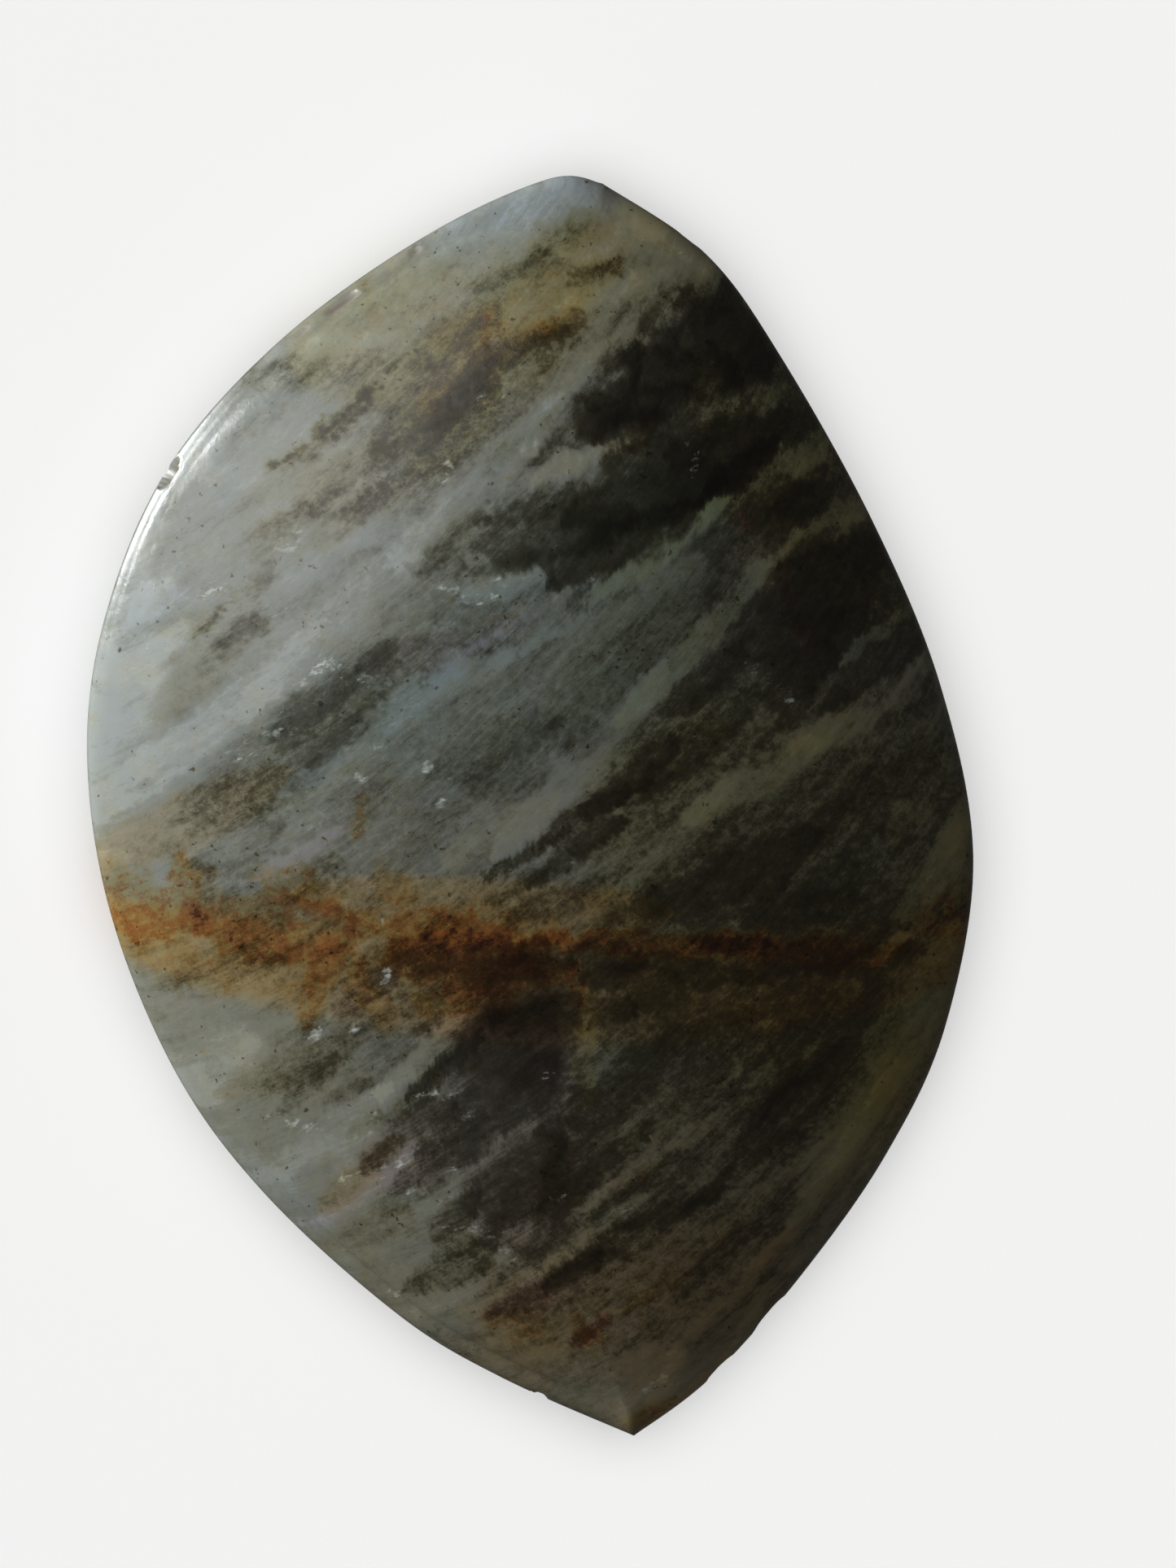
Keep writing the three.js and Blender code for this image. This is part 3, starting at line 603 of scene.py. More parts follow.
def softened(outline, reach_length):
    """The outline with rounded corners: averaged along a length twice, and stretched back to size."""
    count = len(outline)
    reach = round(reach_length / 2 / (outline[1] - outline[0]).length)
    rounded = outline
    for _ in range(2):
        source = rounded
        total = sum((source[step % count] for step in range(-reach, reach + 1)), Vector((0, 0)))
        rounded = []
        for index in range(count):
            rounded.append(total / (2 * reach + 1))
            total = total + source[(index + reach + 1) % count] - source[(index - reach) % count]
    _, before = box_of(outline)
    middle, after = box_of(rounded)
    stretch = Vector((before.x / after.x, before.y / after.y))
    return [(point - middle) * stretch for point in rounded]


def share_of_width(inset):
    """How far out from the middle a place in from the outline is, as a share of the way."""
    return 1 - inset / HALF_WIDTH


def straight(start, end, count):
    """Evenly spaced places after start, up to and with end."""
    return [start.lerp(end, step / count) for step in range(1, count + 1)]


def shoulder_section(shape):
    """The shoulder in section, a curve that leaves straight up and arrives along the dome's edge."""
    radius = HALF_WIDTH - shape.shoulder_width
    slope = (shape.thickness - shape.shoulder_top) / radius * (1 + 1 / math.cos(shape.dome_turn))
    start = Vector((0, shape.girdle_top))
    turn = Vector((0, shape.shoulder_top - slope * shape.shoulder_width))
    end = Vector((shape.shoulder_width, shape.shoulder_top))
    shares = [step / SHOULDER_RINGS for step in range(1, SHOULDER_RINGS + 1)]
    places = [start.lerp(turn, share).lerp(turn.lerp(end, share), share) for share in shares]
    return [Vector((share_of_width(place.x), place.y)) for place in places]


def dome_section(shape):
    """The dome in section, an arc stretched to the dome's rise, without its apex."""
    edge = share_of_width(shape.shoulder_width)
    places = []
    for step in range(1, DOME_RINGS):
        angle = shape.dome_turn * (1 - step / DOME_RINGS)
        lift = (math.cos(angle) - math.cos(shape.dome_turn)) / (1 - math.cos(shape.dome_turn))
        height = shape.shoulder_top + (shape.thickness - shape.shoulder_top) * lift
        places.append(Vector((edge * math.sin(angle) / math.sin(shape.dome_turn), height)))
    return places


def stone_section(shape):
    """The section from the middle of the back to near the apex: shares of the way out, and heights."""
    back_edge = Vector((share_of_width(shape.bevel + shape.girdle_lean), 0))
    bevel_top = Vector((share_of_width(shape.girdle_lean), shape.bevel))
    widest = Vector((1, shape.girdle_top))
    places = straight(Vector((0, 0)), back_edge, BACK_RINGS)
    places += straight(back_edge, bevel_top, BEVEL_RINGS)
    places += straight(bevel_top, widest, GIRDLE_RINGS)
    return places + shoulder_section(shape) + dome_section(shape)


class Texture(NamedTuple):
    """Noise in the rock: how finely detailed and how rough it is, and how far it swings what it changes.

    Its patches are so many to a millimetre, or so long and wide in millimetres and turned from the streaks.
    """

    detail: float
    roughness: float
    scale: float = 1.0
    size: tuple = ()
    turn: float = 0.0
    swing: float = 1.0


class Curve(NamedTuple):
    """Maps the range from low to high onto the one from first to last, smoothly at both ends."""

    low: float
    high: float
    first: float = 0.0
    last: float = 1.0


# How rough the far side of a chip is: waves to a metre, and how they change the depth of the bite.
CHIP_WAVES = 2600.0
CHIP_RIPPLE = Curve(0.3, 0.7, 0.75, 1.05)

# A Mix node's sockets for each kind of value: what it mixes, and what comes out.
MIX_SOCKETS = {"FLOAT": (2, 3, 0), "VECTOR": (4, 5, 1), "RGBA": (6, 7, 2)}


class NodeMaker:
    """Adds nodes to a tree. A node's inputs are given as values or as the outputs of other nodes."""

    def __init__(self, tree):
        self.tree = tree

    def add(self, kind, values=None, **settings):
        """A new node of a kind, with values for its inputs and settings for its own fields."""
        node = self.tree.nodes.new(kind)
        for name, setting in settings.items():
            setattr(node, name, setting)
        for socket, value in (values or {}).items():
            self.plug(node.inputs[socket], value)
        return node

    def plug(self, socket, value):
        """Links an output to an input, or gives the input a plain value."""
        if isinstance(value, bpy.types.NodeSocket):
            self.tree.links.new(value, socket)
        else:
            socket.default_value = value

    def group(self, tree, values):
        """What comes first out of a node that runs another tree."""
        return self.add("GeometryNodeGroup", values, node_tree=tree).outputs[0]

    def math(self, operation, *values, clamp=False):
        """Arithmetic on numbers, held between 0 and 1 if it is clamped."""
        node = self.add("ShaderNodeMath", dict(enumerate(values)), operation=operation, use_clamp=clamp)
        return node.outputs[0]

    def vector(self, operation, *values):
        """Arithmetic on vectors; SCALE takes a vector and then a number."""
        node = self.add("ShaderNodeVectorMath", operation=operation)
        for socket, value in enumerate(values):
            plain_number = operation == "SCALE" and socket == 1
            self.plug(node.inputs["Scale"] if plain_number else node.inputs[socket], value)
        return node.outputs["Value" if operation in ("LENGTH", "DOT_PRODUCT", "DISTANCE") else "Vector"]

    def spread(self, value, low, high, new_low=0.0, new_high=1.0, smooth=True):
        """Maps the range from low to high onto a new one, smoothly at both ends."""
        kind = "SMOOTHSTEP" if smooth else "LINEAR"
        values = {0: value, 1: low, 2: high, 3: new_low, 4: new_high}
        return self.add("ShaderNodeMapRange", values, interpolation_type=kind).outputs[0]

    def mix(self, kind, share, first, second):
        """One number, vector or colour over another; share is how much of the second shows."""
        under, over, result = MIX_SOCKETS[kind]
        values = {"Factor": share, under: first, over: second}
        return self.add("ShaderNodeMix", values, data_type=kind).outputs[result]

    def noise(self, place, scale, detail=2.0, roughness=0.5):
        """Noise around 0.5 at a place, with so many patches to its unit of length."""
        values = {"Vector": place, "Scale": scale, "Detail": detail, "Roughness": roughness}
        return self.add("ShaderNodeTexNoise", values)

    def parts(self, vector):
        """The three numbers in a vector."""
        return self.add("ShaderNodeSeparateXYZ", {0: vector}).outputs

    def combine(self, x, y, z):
        """A vector of three numbers."""
        return self.add("ShaderNodeCombineXYZ", {0: x, 1: y, 2: z}).outputs[0]


def new_tree(name, inputs, outputs):
    """A Geometry Nodes tree with named inputs and outputs, its maker, and what goes in and out."""
    tree = bpy.data.node_groups.new(name, "GeometryNodeTree")
    for side, sockets in (("INPUT", inputs), ("OUTPUT", outputs)):
        for label, socket_kind in sockets:
            tree.interface.new_socket(name=label, in_out=side, socket_type=f"NodeSocket{socket_kind}")
    maker = NodeMaker(tree)
    given = maker.add("NodeGroupInput").outputs
    result = maker.add("NodeGroupOutput").inputs
    return tree, maker, given, result


def with_attribute(make, geometry, name, value, kind, chosen=True):
    """The geometry with a value stored under a name at each chosen point."""
    values = {"Geometry": geometry, "Selection": chosen, "Name": name, "Value": value}
    return make.add("GeometryNodeStoreNamedAttribute", values, data_type=kind, domain="POINT").outputs[0]


def chip_tree():
    """Takes one chip: surface inside a rounded bite is pushed in until it lies on the bite's far side."""
    inputs = (("Geometry", "Geometry"), ("Mouth", "Vector"), ("Turn", "Float"), ("Reach", "Vector"))
    tree, make, given, result = new_tree("chip", inputs, (("Geometry", "Geometry"),))
    position = make.add("GeometryNodeInputPosition").outputs[0]
    inward = make.vector("SCALE", make.add("GeometryNodeInputNormal").outputs[0], -1.0)
    unturn = make.math("MULTIPLY", given["Turn"], -1.0)

    def in_bite(vector):
        turned = make.add(
            "ShaderNodeVectorRotate", {"Vector": vector, "Angle": unturn}, rotation_type="Z_AXIS"
        )
        return make.vector("DIVIDE", turned.outputs[0], given["Reach"])

    place = in_bite(make.vector("SUBTRACT", position, given["Mouth"]))
    way = in_bite(inward)
    inside = make.math("SUBTRACT", 1.0, make.vector("DOT_PRODUCT", place, place))
    along = make.vector("DOT_PRODUCT", place, way)
    stretch = make.vector("DOT_PRODUCT", way, way)
    square = make.math("MULTIPLY", along, along)
    root = make.math("SQRT", make.math("MULTIPLY_ADD", stretch, inside, square))
    push = make.math("DIVIDE", make.math("SUBTRACT", root, along), stretch)
    ripple = make.spread(make.noise(position, CHIP_WAVES).outputs[0], *CHIP_RIPPLE)
    in_it = make.math("GREATER_THAN", inside, 0.0)
    marked = with_attribute(make, given["Geometry"], "chipped", 1.0, "FLOAT", in_it)
    offset = make.vector("SCALE", inward, make.math("MULTIPLY", push, ripple))
    values = {"Geometry": marked, "Selection": in_it, "Offset": offset}
    moved = make.add("GeometryNodeSetPosition", values)
    make.plug(result["Geometry"], moved.outputs[0])
    return tree


def sampled(make, geometry, value, index):
    """A vector read at one point of some geometry."""
    values = {"Geometry": geometry, "Value": value, "Index": index}
    return make.add("GeometryNodeSampleIndex", values, data_type="FLOAT_VECTOR").outputs[0]


def lofted(make, given, columns, rows):
    """A capped tube whose columns follow the outline and whose rows follow the section."""
    tube = make.add(
        "GeometryNodeMeshCylinder",
        {"Vertices": columns, "Side Segments": rows - 1, "Radius": 1.0, "Depth": 1.0},
        fill_type="TRIANGLE_FAN",
    )
    position = make.add("GeometryNodeInputPosition").outputs[0]
    x, y, z = make.parts(position)
    turns = make.math("DIVIDE", make.math("ARCTAN2", y, x), math.tau)
    column = make.math("FLOORED_MODULO", make.math("ROUND", make.math("MULTIPLY", turns, columns)), columns)
    row = make.math("ROUND", make.math("MULTIPLY", make.math("ADD", z, 0.5), rows - 1))
    rounded = make.add("GeometryNodeInputNamedAttribute", {"Name": "rounded"}, data_type="FLOAT_VECTOR")
    section = make.add("GeometryNodeObjectInfo", {"Object": given["Section"]}).outputs["Geometry"]
    sharp = sampled(make, given["Geometry"], position, column)
    soft = sampled(make, given["Geometry"], rounded.outputs[0], column)
    out, _, height = make.parts(sampled(make, section, position, row))
    reach = make.math("POWER", make.math("DIVIDE", out, given["Dome Edge"]), given["Ridge Fade"])
    on_dome = make.math("GREATER_THAN", height, given["Girdle Top"])
    fade = make.math("MULTIPLY", make.math("SUBTRACT", 1.0, reach, clamp=True), on_dome)
    contour = make.mix("VECTOR", fade, sharp, soft)
    off_axis = make.math("GREATER_THAN", make.vector("LENGTH", make.combine(x, y, 0.0)), 0.5)
    drawn_in = make.vector("SCALE", contour, make.math("MULTIPLY", out, off_axis))
    place = make.vector("ADD", drawn_in, make.combine(0.0, 0.0, height))
    values = {"Geometry": tube.outputs["Mesh"], "Position": place}
    return make.add("GeometryNodeSetPosition", values).outputs[0]


def worn(make, given, geometry):
    """Slow waves and a few small pits in the polish. The flat back stays flat."""
    position = make.add("GeometryNodeInputPosition").outputs[0]
    normal = make.add("GeometryNodeInputNormal").outputs[0]
    off_back = make.math("GREATER_THAN", make.parts(position)[2], given["Girdle Top"])
    pits = make.add(
        "GeometryNodeDistributePointsOnFaces",
        {
            "Mesh": geometry,
            "Selection": off_back,
            "Distance Min": given["Pit Spacing"],
            "Density Max": given["Pit Density"],
            "Seed": given["Seed"],
        },
        distribute_method="POISSON",
    )
    near = make.add("GeometryNodeProximity", {"Target": pits.outputs["Points"]}, target_element="POINTS")
    pit = make.spread(near.outputs["Distance"], 0.0, given["Pit Radius"], given["Pit Depth"], 0.0)
    waves = make.noise(position, make.math("DIVIDE", 1.0, given["Wave Size"]), detail=1.0).outputs[0]
    wave = make.math("MULTIPLY", make.math("SUBTRACT", waves, 0.5), given["Wave Height"])
    rise = make.math("MULTIPLY", make.math("SUBTRACT", wave, pit), off_back)
    values = {"Geometry": geometry, "Offset": make.vector("SCALE", normal, rise)}
    return make.add("GeometryNodeSetPosition", values).outputs[0]


def cut_stone_tree(columns, rows, outline):
    """Lofts the stone, chips its rim, wears its polish and gives it its material."""
    inputs = (
        ("Geometry", "Geometry"),
        ("Section", "Object"),
        ("Dome Edge", "Float"),
        ("Girdle Top", "Float"),
        ("Ridge Fade", "Float"),
        ("Wave Height", "Float"),
        ("Wave Size", "Float"),
        ("Pit Radius", "Float"),
        ("Pit Depth", "Float"),
        ("Pit Spacing", "Float"),
        ("Pit Density", "Float"),
        ("Seed", "Int"),
        ("Material", "Material"),
    )
    tree, make, given, result = new_tree("cut_stone", inputs, (("Geometry", "Geometry"),))
    geometry = lofted(make, given, columns, rows)
    bite = chip_tree()
    for chip in CHIPS:
        mouth = Vector(chip["at"]) * MM
        nearest = min(range(len(outline)), key=lambda index: (outline[index] - mouth.xy).length)
        rim = outline[(nearest + 1) % len(outline)] - outline[nearest - 1]
        reach = Vector((chip["along"], chip["in"], chip["down"])) * MM
        values = {"Geometry": geometry, "Mouth": mouth, "Turn": math.atan2(rim.y, rim.x), "Reach": reach}
        geometry = make.group(bite, values)
    geometry = patterned(make, worn(make, given, geometry))
    smooth = make.add("GeometryNodeSetShadeSmooth", {"Geometry": geometry}).outputs[0]
    real = make.add("GeometryNodeRealizeInstances", {"Geometry": smooth}).outputs[0]
    dressed = make.add("GeometryNodeSetMaterial", {"Geometry": real, "Material": given["Material"]})
    make.plug(result["Geometry"], dressed.outputs[0])
    return tree


def new_object(name, data):
    """A new object in the scene."""
    piece = bpy.data.objects.new(name, data)
    bpy.context.scene.collection.objects.link(piece)
    return piece


def outline_blank(outline, rounded):
    """An object that holds the outline, and as an attribute its rounded form."""
    mesh = bpy.data.meshes.new(PIECE)
    mesh.from_pydata([(point.x, point.y, 0) for point in outline], [], [])
    soft = mesh.attributes.new("rounded", "FLOAT_VECTOR", "POINT")
    soft.data.foreach_set("vector", [number for point in rounded for number in (point.x, point.y, 0)])
    return new_object(PIECE, mesh)


def section_blank(section):
    """An object that holds the section, for the loft to read."""
    mesh = bpy.data.meshes.new("section")
    mesh.from_pydata([(place.x, 0, place.y) for place in section], [], [])
    return new_object("section", mesh)


def make_real(piece):
    """Turns the result of the piece's modifiers into its plain mesh."""
    evaluated = piece.evaluated_get(bpy.context.evaluated_depsgraph_get())
    mesh = bpy.data.meshes.new_from_object(evaluated)
    piece.modifiers.clear()
    blank, piece.data = piece.data, mesh
    bpy.data.meshes.remove(blank)
    mesh.name = piece.name


def cut_stone(shape, wear, material):
    """The finished stone as one plain mesh."""
    outline = girdle_outline()
    section = stone_section(shape)
    stone = outline_blank(outline, softened(outline, shape.ridge_softening))
    guide = section_blank(section)
    modifier = stone.modifiers.new("cut_stone", "NODES")
    modifier.node_group = cut_stone_tree(len(outline), len(section), outline)
    settings = {
        "Section": guide,
        "Dome Edge": share_of_width(shape.shoulder_width),
        "Girdle Top": shape.girdle_top,
        "Ridge Fade": shape.ridge_fade,
        "Wave Height": wear.wave_height,
        "Wave Size": wear.wave_size,
        "Pit Radius": wear.pit_radius,
        "Pit Depth": wear.pit_depth,
        "Pit Spacing": wear.pit_spacing,
        "Pit Density": 1 / wear.pit_spacing**2,
        "Seed": wear.seed,
        "Material": material,
    }
    for socket in modifier.node_group.interface.items_tree:
        if socket.name in settings and socket.in_out == "INPUT":
            modifier[socket.identifier] = settings[socket.name]
    make_real(stone)
    bpy.data.objects.remove(guide)
    return stone


# What frays the bands, lenses and rust, in millimetres: along the streaks, and to all sides.
FRAY_STREAKS = Texture(1.5, 0.5, size=(5.0, 0.7), swing=1.3)
FRAY_CLOUDS = Texture(3.0, 0.85, scale=0.9, swing=1.1)


def in_layers(place):
    """Where a place on the dome, seen from above, lies across the sloping layers of the rock."""
    share = (place[0] / DOME_REACH[0]) ** 2 + (place[1] / DOME_REACH[1]) ** 2
    height = DOME_TOP - (DOME_TOP - DOME_FOOT) * share
    return Vector((*place, 0)) - Vector((*LAYER_SLOPE, 0)) * height


def lens_tree():
    """A soft-edged ellipse: 1 along its spine and 0 outside, by the sum of the distances to its foci."""
    inputs = (
        ("Place", "Vector"),
        ("First Focus", "Vector"),
        ("Second Focus", "Vector"),
        ("Edge", "Float"),
        ("Full", "Float"),
    )
    tree, make, given, result = new_tree("lens", inputs, (("Mask", "Float"),))
    first = make.vector("DISTANCE", given["Place"], given["First Focus"])
    second = make.vector("DISTANCE", given["Place"], given["Second Focus"])
    mask = make.spread(make.math("ADD", first, second), given["Edge"], given["Full"], smooth=False)
    make.plug(result["Mask"], mask)
    return tree


def lenses_tree(name, lens_group, lens_table):
    """Adds up the tones and tints of all the lenses of one kind, as stops of red, green and blue."""
    inputs, outputs = (("Place", "Vector"), ("Stops", "Vector")), (("Stops", "Vector"),)
    tree, make, given, result = new_tree(name, inputs, outputs)
    total = given["Stops"]
    for lens in lens_table:
        start, end = in_layers(lens.start), in_layers(lens.end)
        middle, half = (start + end) / 2, (end - start) / 2
        focus = math.sqrt(max(half.length**2 - lens.width**2 / 4, 0)) * half.normalized()
        edge, spine = 2 * half.length, 2 * focus.length
        values = {
            "Place": given["Place"],
            "First Focus": middle - focus,
            "Second Focus": middle + focus,
            "Edge": edge,
            "Full": edge + (spine - edge) * lens.softness,
        }
        mask = make.group(lens_group, values)
        stops = Vector(TINTS[lens.tint]) + Vector((lens.tone * LENS_STRENGTH,) * 3)
        total = make.vector("ADD", total, make.vector("SCALE", stops, mask))
    make.plug(result["Stops"], total)
    return tree


def layered(make, solid):
    """A place in the rock in millimetres, moved down along the sloping layers to the height of the back."""
    x, y, height = make.parts(solid)
    moved_x = make.math("MULTIPLY_ADD", height, -LAYER_SLOPE[0], x)
    moved_y = make.math("MULTIPLY_ADD", height, -LAYER_SLOPE[1], y)
    return make.combine(moved_x, moved_y, 0.0)


def textured(make, place, texture):
    """The noise of a texture at a place."""
    if texture.size:
        values = {"Vector": place, "Angle": -(STREAK_ANGLE + texture.turn)}
        turned = make.add("ShaderNodeVectorRotate", values, rotation_type="Z_AXIS").outputs[0]
        place = make.vector("DIVIDE", turned, (*texture.size, 1.0))
    return make.noise(place, texture.scale, texture.detail, texture.roughness)


def swing(make, place, texture):
    """A texture's value at a place as a swing of up to about half of its amount to both sides of 0."""
    value = textured(make, place, texture).outputs[0]
    return make.math("MULTIPLY", make.math("SUBTRACT", value, 0.5), texture.swing)


def frayed(make, solid, sloped):
    """The layered place, pushed to and fro so that what is drawn there frays along the streaks."""
    lengthwise = Vector((math.cos(STREAK_ANGLE), math.sin(STREAK_ANGLE), 0))
    along = make.vector("SCALE", lengthwise, swing(make, sloped, FRAY_STREAKS))
    clouds = textured(make, solid, FRAY_CLOUDS).outputs["Color"]
    around = make.vector("SCALE", make.vector("SUBTRACT", clouds, (0.5, 0.5, 0.5)), FRAY_CLOUDS.swing)
    return make.vector("ADD", sloped, make.vector("ADD", along, around))


def patterned(make, geometry):
    """Stores how pale and what tint the rock is at each point, with the painted light and shade of the
    widest zones, how rusty, and how full of glints.
    """
    solid = make.vector("SCALE", make.add("GeometryNodeInputPosition").outputs[0], 1 / MM)
    sloped = layered(make, solid)
    frayed_place = frayed(make, solid, sloped)
    lens_group = lens_tree()

    def stops_of(name, lens_table, place, stops=(0.0, 0.0, 0.0)):
        tree = lenses_tree(name, lens_group, lens_table)
        return make.group(tree, {"Place": place, "Stops": stops})

    tone = stops_of("zones", ZONES + SOFT_ZONES, sloped)
    tone = stops_of("bands", BANDS, frayed_place, tone)
    tone = stops_of("dark_lenses", DARK_LENSES, frayed_place, tone)
    rust = make.parts(stops_of("rust", RUST, frayed_place))[0]
    glint = make.parts(stops_of("glints", GLINTS, sloped))[0]
    geometry = with_attribute(make, geometry, "tone", tone, "FLOAT_VECTOR")
    geometry = with_attribute(make, geometry, "rust", rust, "FLOAT")
    return with_attribute(make, geometry, "glint", glint, "FLOAT")


# The rock's own textures. Their swings are in stops.
STREAKS = Texture(4.0, 0.62, size=(6.0, 0.6), swing=1.0)
FIBRES = Texture(3.0, 0.6, size=(2.8, 0.22), turn=0.05, swing=0.4)
DASHES = Texture(5.0, 0.78, size=(0.75, 0.4), turn=-0.3, swing=1.35)
GRAINS = Texture(5.0, 0.85, scale=3.6, swing=1.9)
PATCHES = Texture(5.0, 0.8, size=(1.1, 0.7), swing=0.9)
WARMTH = Texture(3.0, 0.6, scale=0.4, swing=1.0)
WARM_TINT = (0.15, 0.0, -0.35)

# Thin lines along the streaks: where in the waves they lie, and their stops by the distance from there.
FILAMENTS = Texture(5.0, 0.62, size=(4.5, 0.65), turn=0.03)
MILKY_PLACE, MILKY_LINE = 0.53, Curve(0.0, 0.035, 0.35, 0.0)
DARK_PLACE, DARK_LINE = 0.4, Curve(0.0, 0.03, -0.4, 0.0)

# How much grain there is by the tone and by the warmth of the drawn pattern.
GRAIN_BY_TONE = Curve(1.0, -0.8, 0.85, 1.5)
GRAIN_BY_WARMTH = Curve(-0.15, 0.45, 0.8, 1.35)

# Stops added by tone: dark and milky rock part at an edge, and the milkiest rock levels off at a ceiling.
MILKY_EDGE = Curve(-1.3, -0.1, -0.4, 0.25)
MILKY_SHOULDER = Curve(0.2, 1.8, 0.0, -0.75)
MILKY_CEILING, CEILING_SOFTNESS = 1.4, 0.5
STOPS_BY_COLOUR = (0.95, 1.0, 1.15)

# Rust: ragged clouds and grains of iron, and how much iron each of the three stains needs.
RUST_CLOUDS = Texture(6.0, 0.85, scale=1.3, swing=2.0)
RUST_GRAINS = Texture(4.0, 0.8, size=(0.32, 0.22), turn=-0.5, swing=2.8)
OCHRE_IRON = Curve(-0.05, 0.75)
RUST_IRON = Curve(0.35, 1.05)
DARK_IRON = Curve(1.1, 1.8)

# Specks, where they crowd, and how much more of them rust holds.
SPECKS = Texture(2.0, 0.5, scale=4.2)
SPECK_CROWDS = Texture(2.0, 0.5, scale=0.5, swing=0.25)
SPECK_EDGE = Curve(0.68, 0.77)
SPECKS_IN_RUST = 0.04

# Glints: thin cracks along the folds of a texture, broken into pieces by flecks, and the brightest flecks.
FOLDS = Texture(3.0, 0.6, size=(1.0, 0.4), turn=-0.4)
FLECKS = Texture(4.0, 0.65, size=(0.42, 0.22), turn=-0.4)
GLINT_PLACE = Curve(0.02, 0.6)
CRACK_LINE = Curve(0.008, 0.05, 0.65, 0.0)
CRACK_BREAKS = Curve(0.42, 0.56)
CRACK_GAIN, CRACK_LIFT = (1.8, 1.8, 1.8), (0.03, 0.032, 0.03)
FLECK_CROWDING = 0.2
FLECK_SHINE = Curve(0.64, 0.94, 0.0, 0.8)

# The polish: how its roughness varies, and the fine relief of its skin.
POLISH = Texture(4.0, 0.6, scale=0.8)
POLISH_ROUGHNESS = Curve(0.3, 0.7, 0.16, 0.3)
CHIP_ROUGHNESS = 0.6
SKIN = Texture(5.0, 0.6, scale=3.0)
SKIN_DEPTH = 0.01 * MM
REFRACTION = 1.56


def attribute(make, name):
    """The outputs of what the mesh stores under a name."""
    return make.add("ShaderNodeAttribute", attribute_name=name).outputs


def filtered(make, share, rock, light):
    """The rock where a stain or a grain lets through only part of its colour."""
    return make.mix("RGBA", share, rock, make.vector("MULTIPLY", rock, light[:3]))


def distance_from(make, value, middle):
    """How far a number is from the middle of a range."""
    return make.math("ABSOLUTE", make.math("SUBTRACT", value, middle))


def filaments(make, sloped):
    """Thin milky and thin dark lines that run with the streaks."""
    waves = textured(make, sloped, FILAMENTS).outputs[0]
    milky = make.spread(distance_from(make, waves, MILKY_PLACE), *MILKY_LINE)
    dark = make.spread(distance_from(make, waves, DARK_PLACE), *DARK_LINE)
    return make.math("ADD", milky, dark)


def grain(make, solid, sloped, drawn):
    """The fine grain in stops, stronger where the drawn pattern is dark or warm."""
    fine = make.math("ADD", swing(make, solid, DASHES), swing(make, solid, GRAINS))
    fine = make.math("ADD", fine, swing(make, solid, PATCHES))
    fine = make.math("ADD", fine, swing(make, sloped, FIBRES))
    red, green, blue = make.parts(drawn)
    fine = make.math("MULTIPLY", fine, make.spread(green, *GRAIN_BY_TONE))
    return make.math("MULTIPLY", fine, make.spread(make.math("SUBTRACT", red, blue), *GRAIN_BY_WARMTH))


def parted(make, tone):
    """The tone with milky rock parted from dark rock at an edge, and levelled off where it is palest."""
    green = make.parts(tone)[1]
    milky = make.math("ADD", make.spread(green, *MILKY_EDGE), make.spread(green, *MILKY_SHOULDER))
    level = make.math("SMOOTH_MIN", make.math("ADD", green, milky), MILKY_CEILING, CEILING_SOFTNESS)
    milky = make.math("SUBTRACT", level, green)
    return make.vector("ADD", tone, make.combine(milky, milky, milky))


def rock_colour(make, solid, sloped, colours):
    """The rock with its bands, painted light and shade, fine streaks, ragged dashes and grain. Dark rock is
    browner.
    """
    drawn = attribute(make, "tone")["Vector"]
    stops = make.math("ADD", grain(make, solid, sloped, drawn), swing(make, sloped, STREAKS))
    stops = make.math("ADD", stops, filaments(make, sloped))
    tone = make.vector("ADD", drawn, make.combine(stops, stops, stops))
    tone = make.vector("ADD", tone, make.vector("SCALE", WARM_TINT, swing(make, solid, WARMTH)))
    tone = make.vector("MULTIPLY", parted(make, tone), STOPS_BY_COLOUR)
    return make.vector("MULTIPLY", make.vector("POWER", (2.0, 2.0, 2.0), tone), colours.rock[:3])


def rusted(make, solid, rock, colours):
    """Rust in ragged clouds of grains, from ochre where it is thin to nearly black where it is thick."""
    iron = make.math("ADD", attribute(make, "rust")["Fac"], swing(make, solid, RUST_CLOUDS))
    grainy = make.math("ADD", iron, swing(make, solid, RUST_GRAINS))
    rock = filtered(make, make.spread(iron, *OCHRE_IRON), rock, colours.ochre)
    rock = filtered(make, make.spread(grainy, *RUST_IRON), rock, colours.rust)
    return filtered(make, make.spread(grainy, *DARK_IRON), rock, colours.dark_rust)


def specked(make, solid, rock, colours):
    """Small dark specks scattered through the rock."""
    crowd = make.math("MULTIPLY", attribute(make, "rust")["Fac"], SPECKS_IN_RUST)
    crowd = make.math("ADD", swing(make, solid, SPECK_CROWDS), crowd)
    specks = make.math("ADD", textured(make, solid, SPECKS).outputs[0], crowd)
    return filtered(make, make.spread(specks, *SPECK_EDGE), rock, colours.speck)


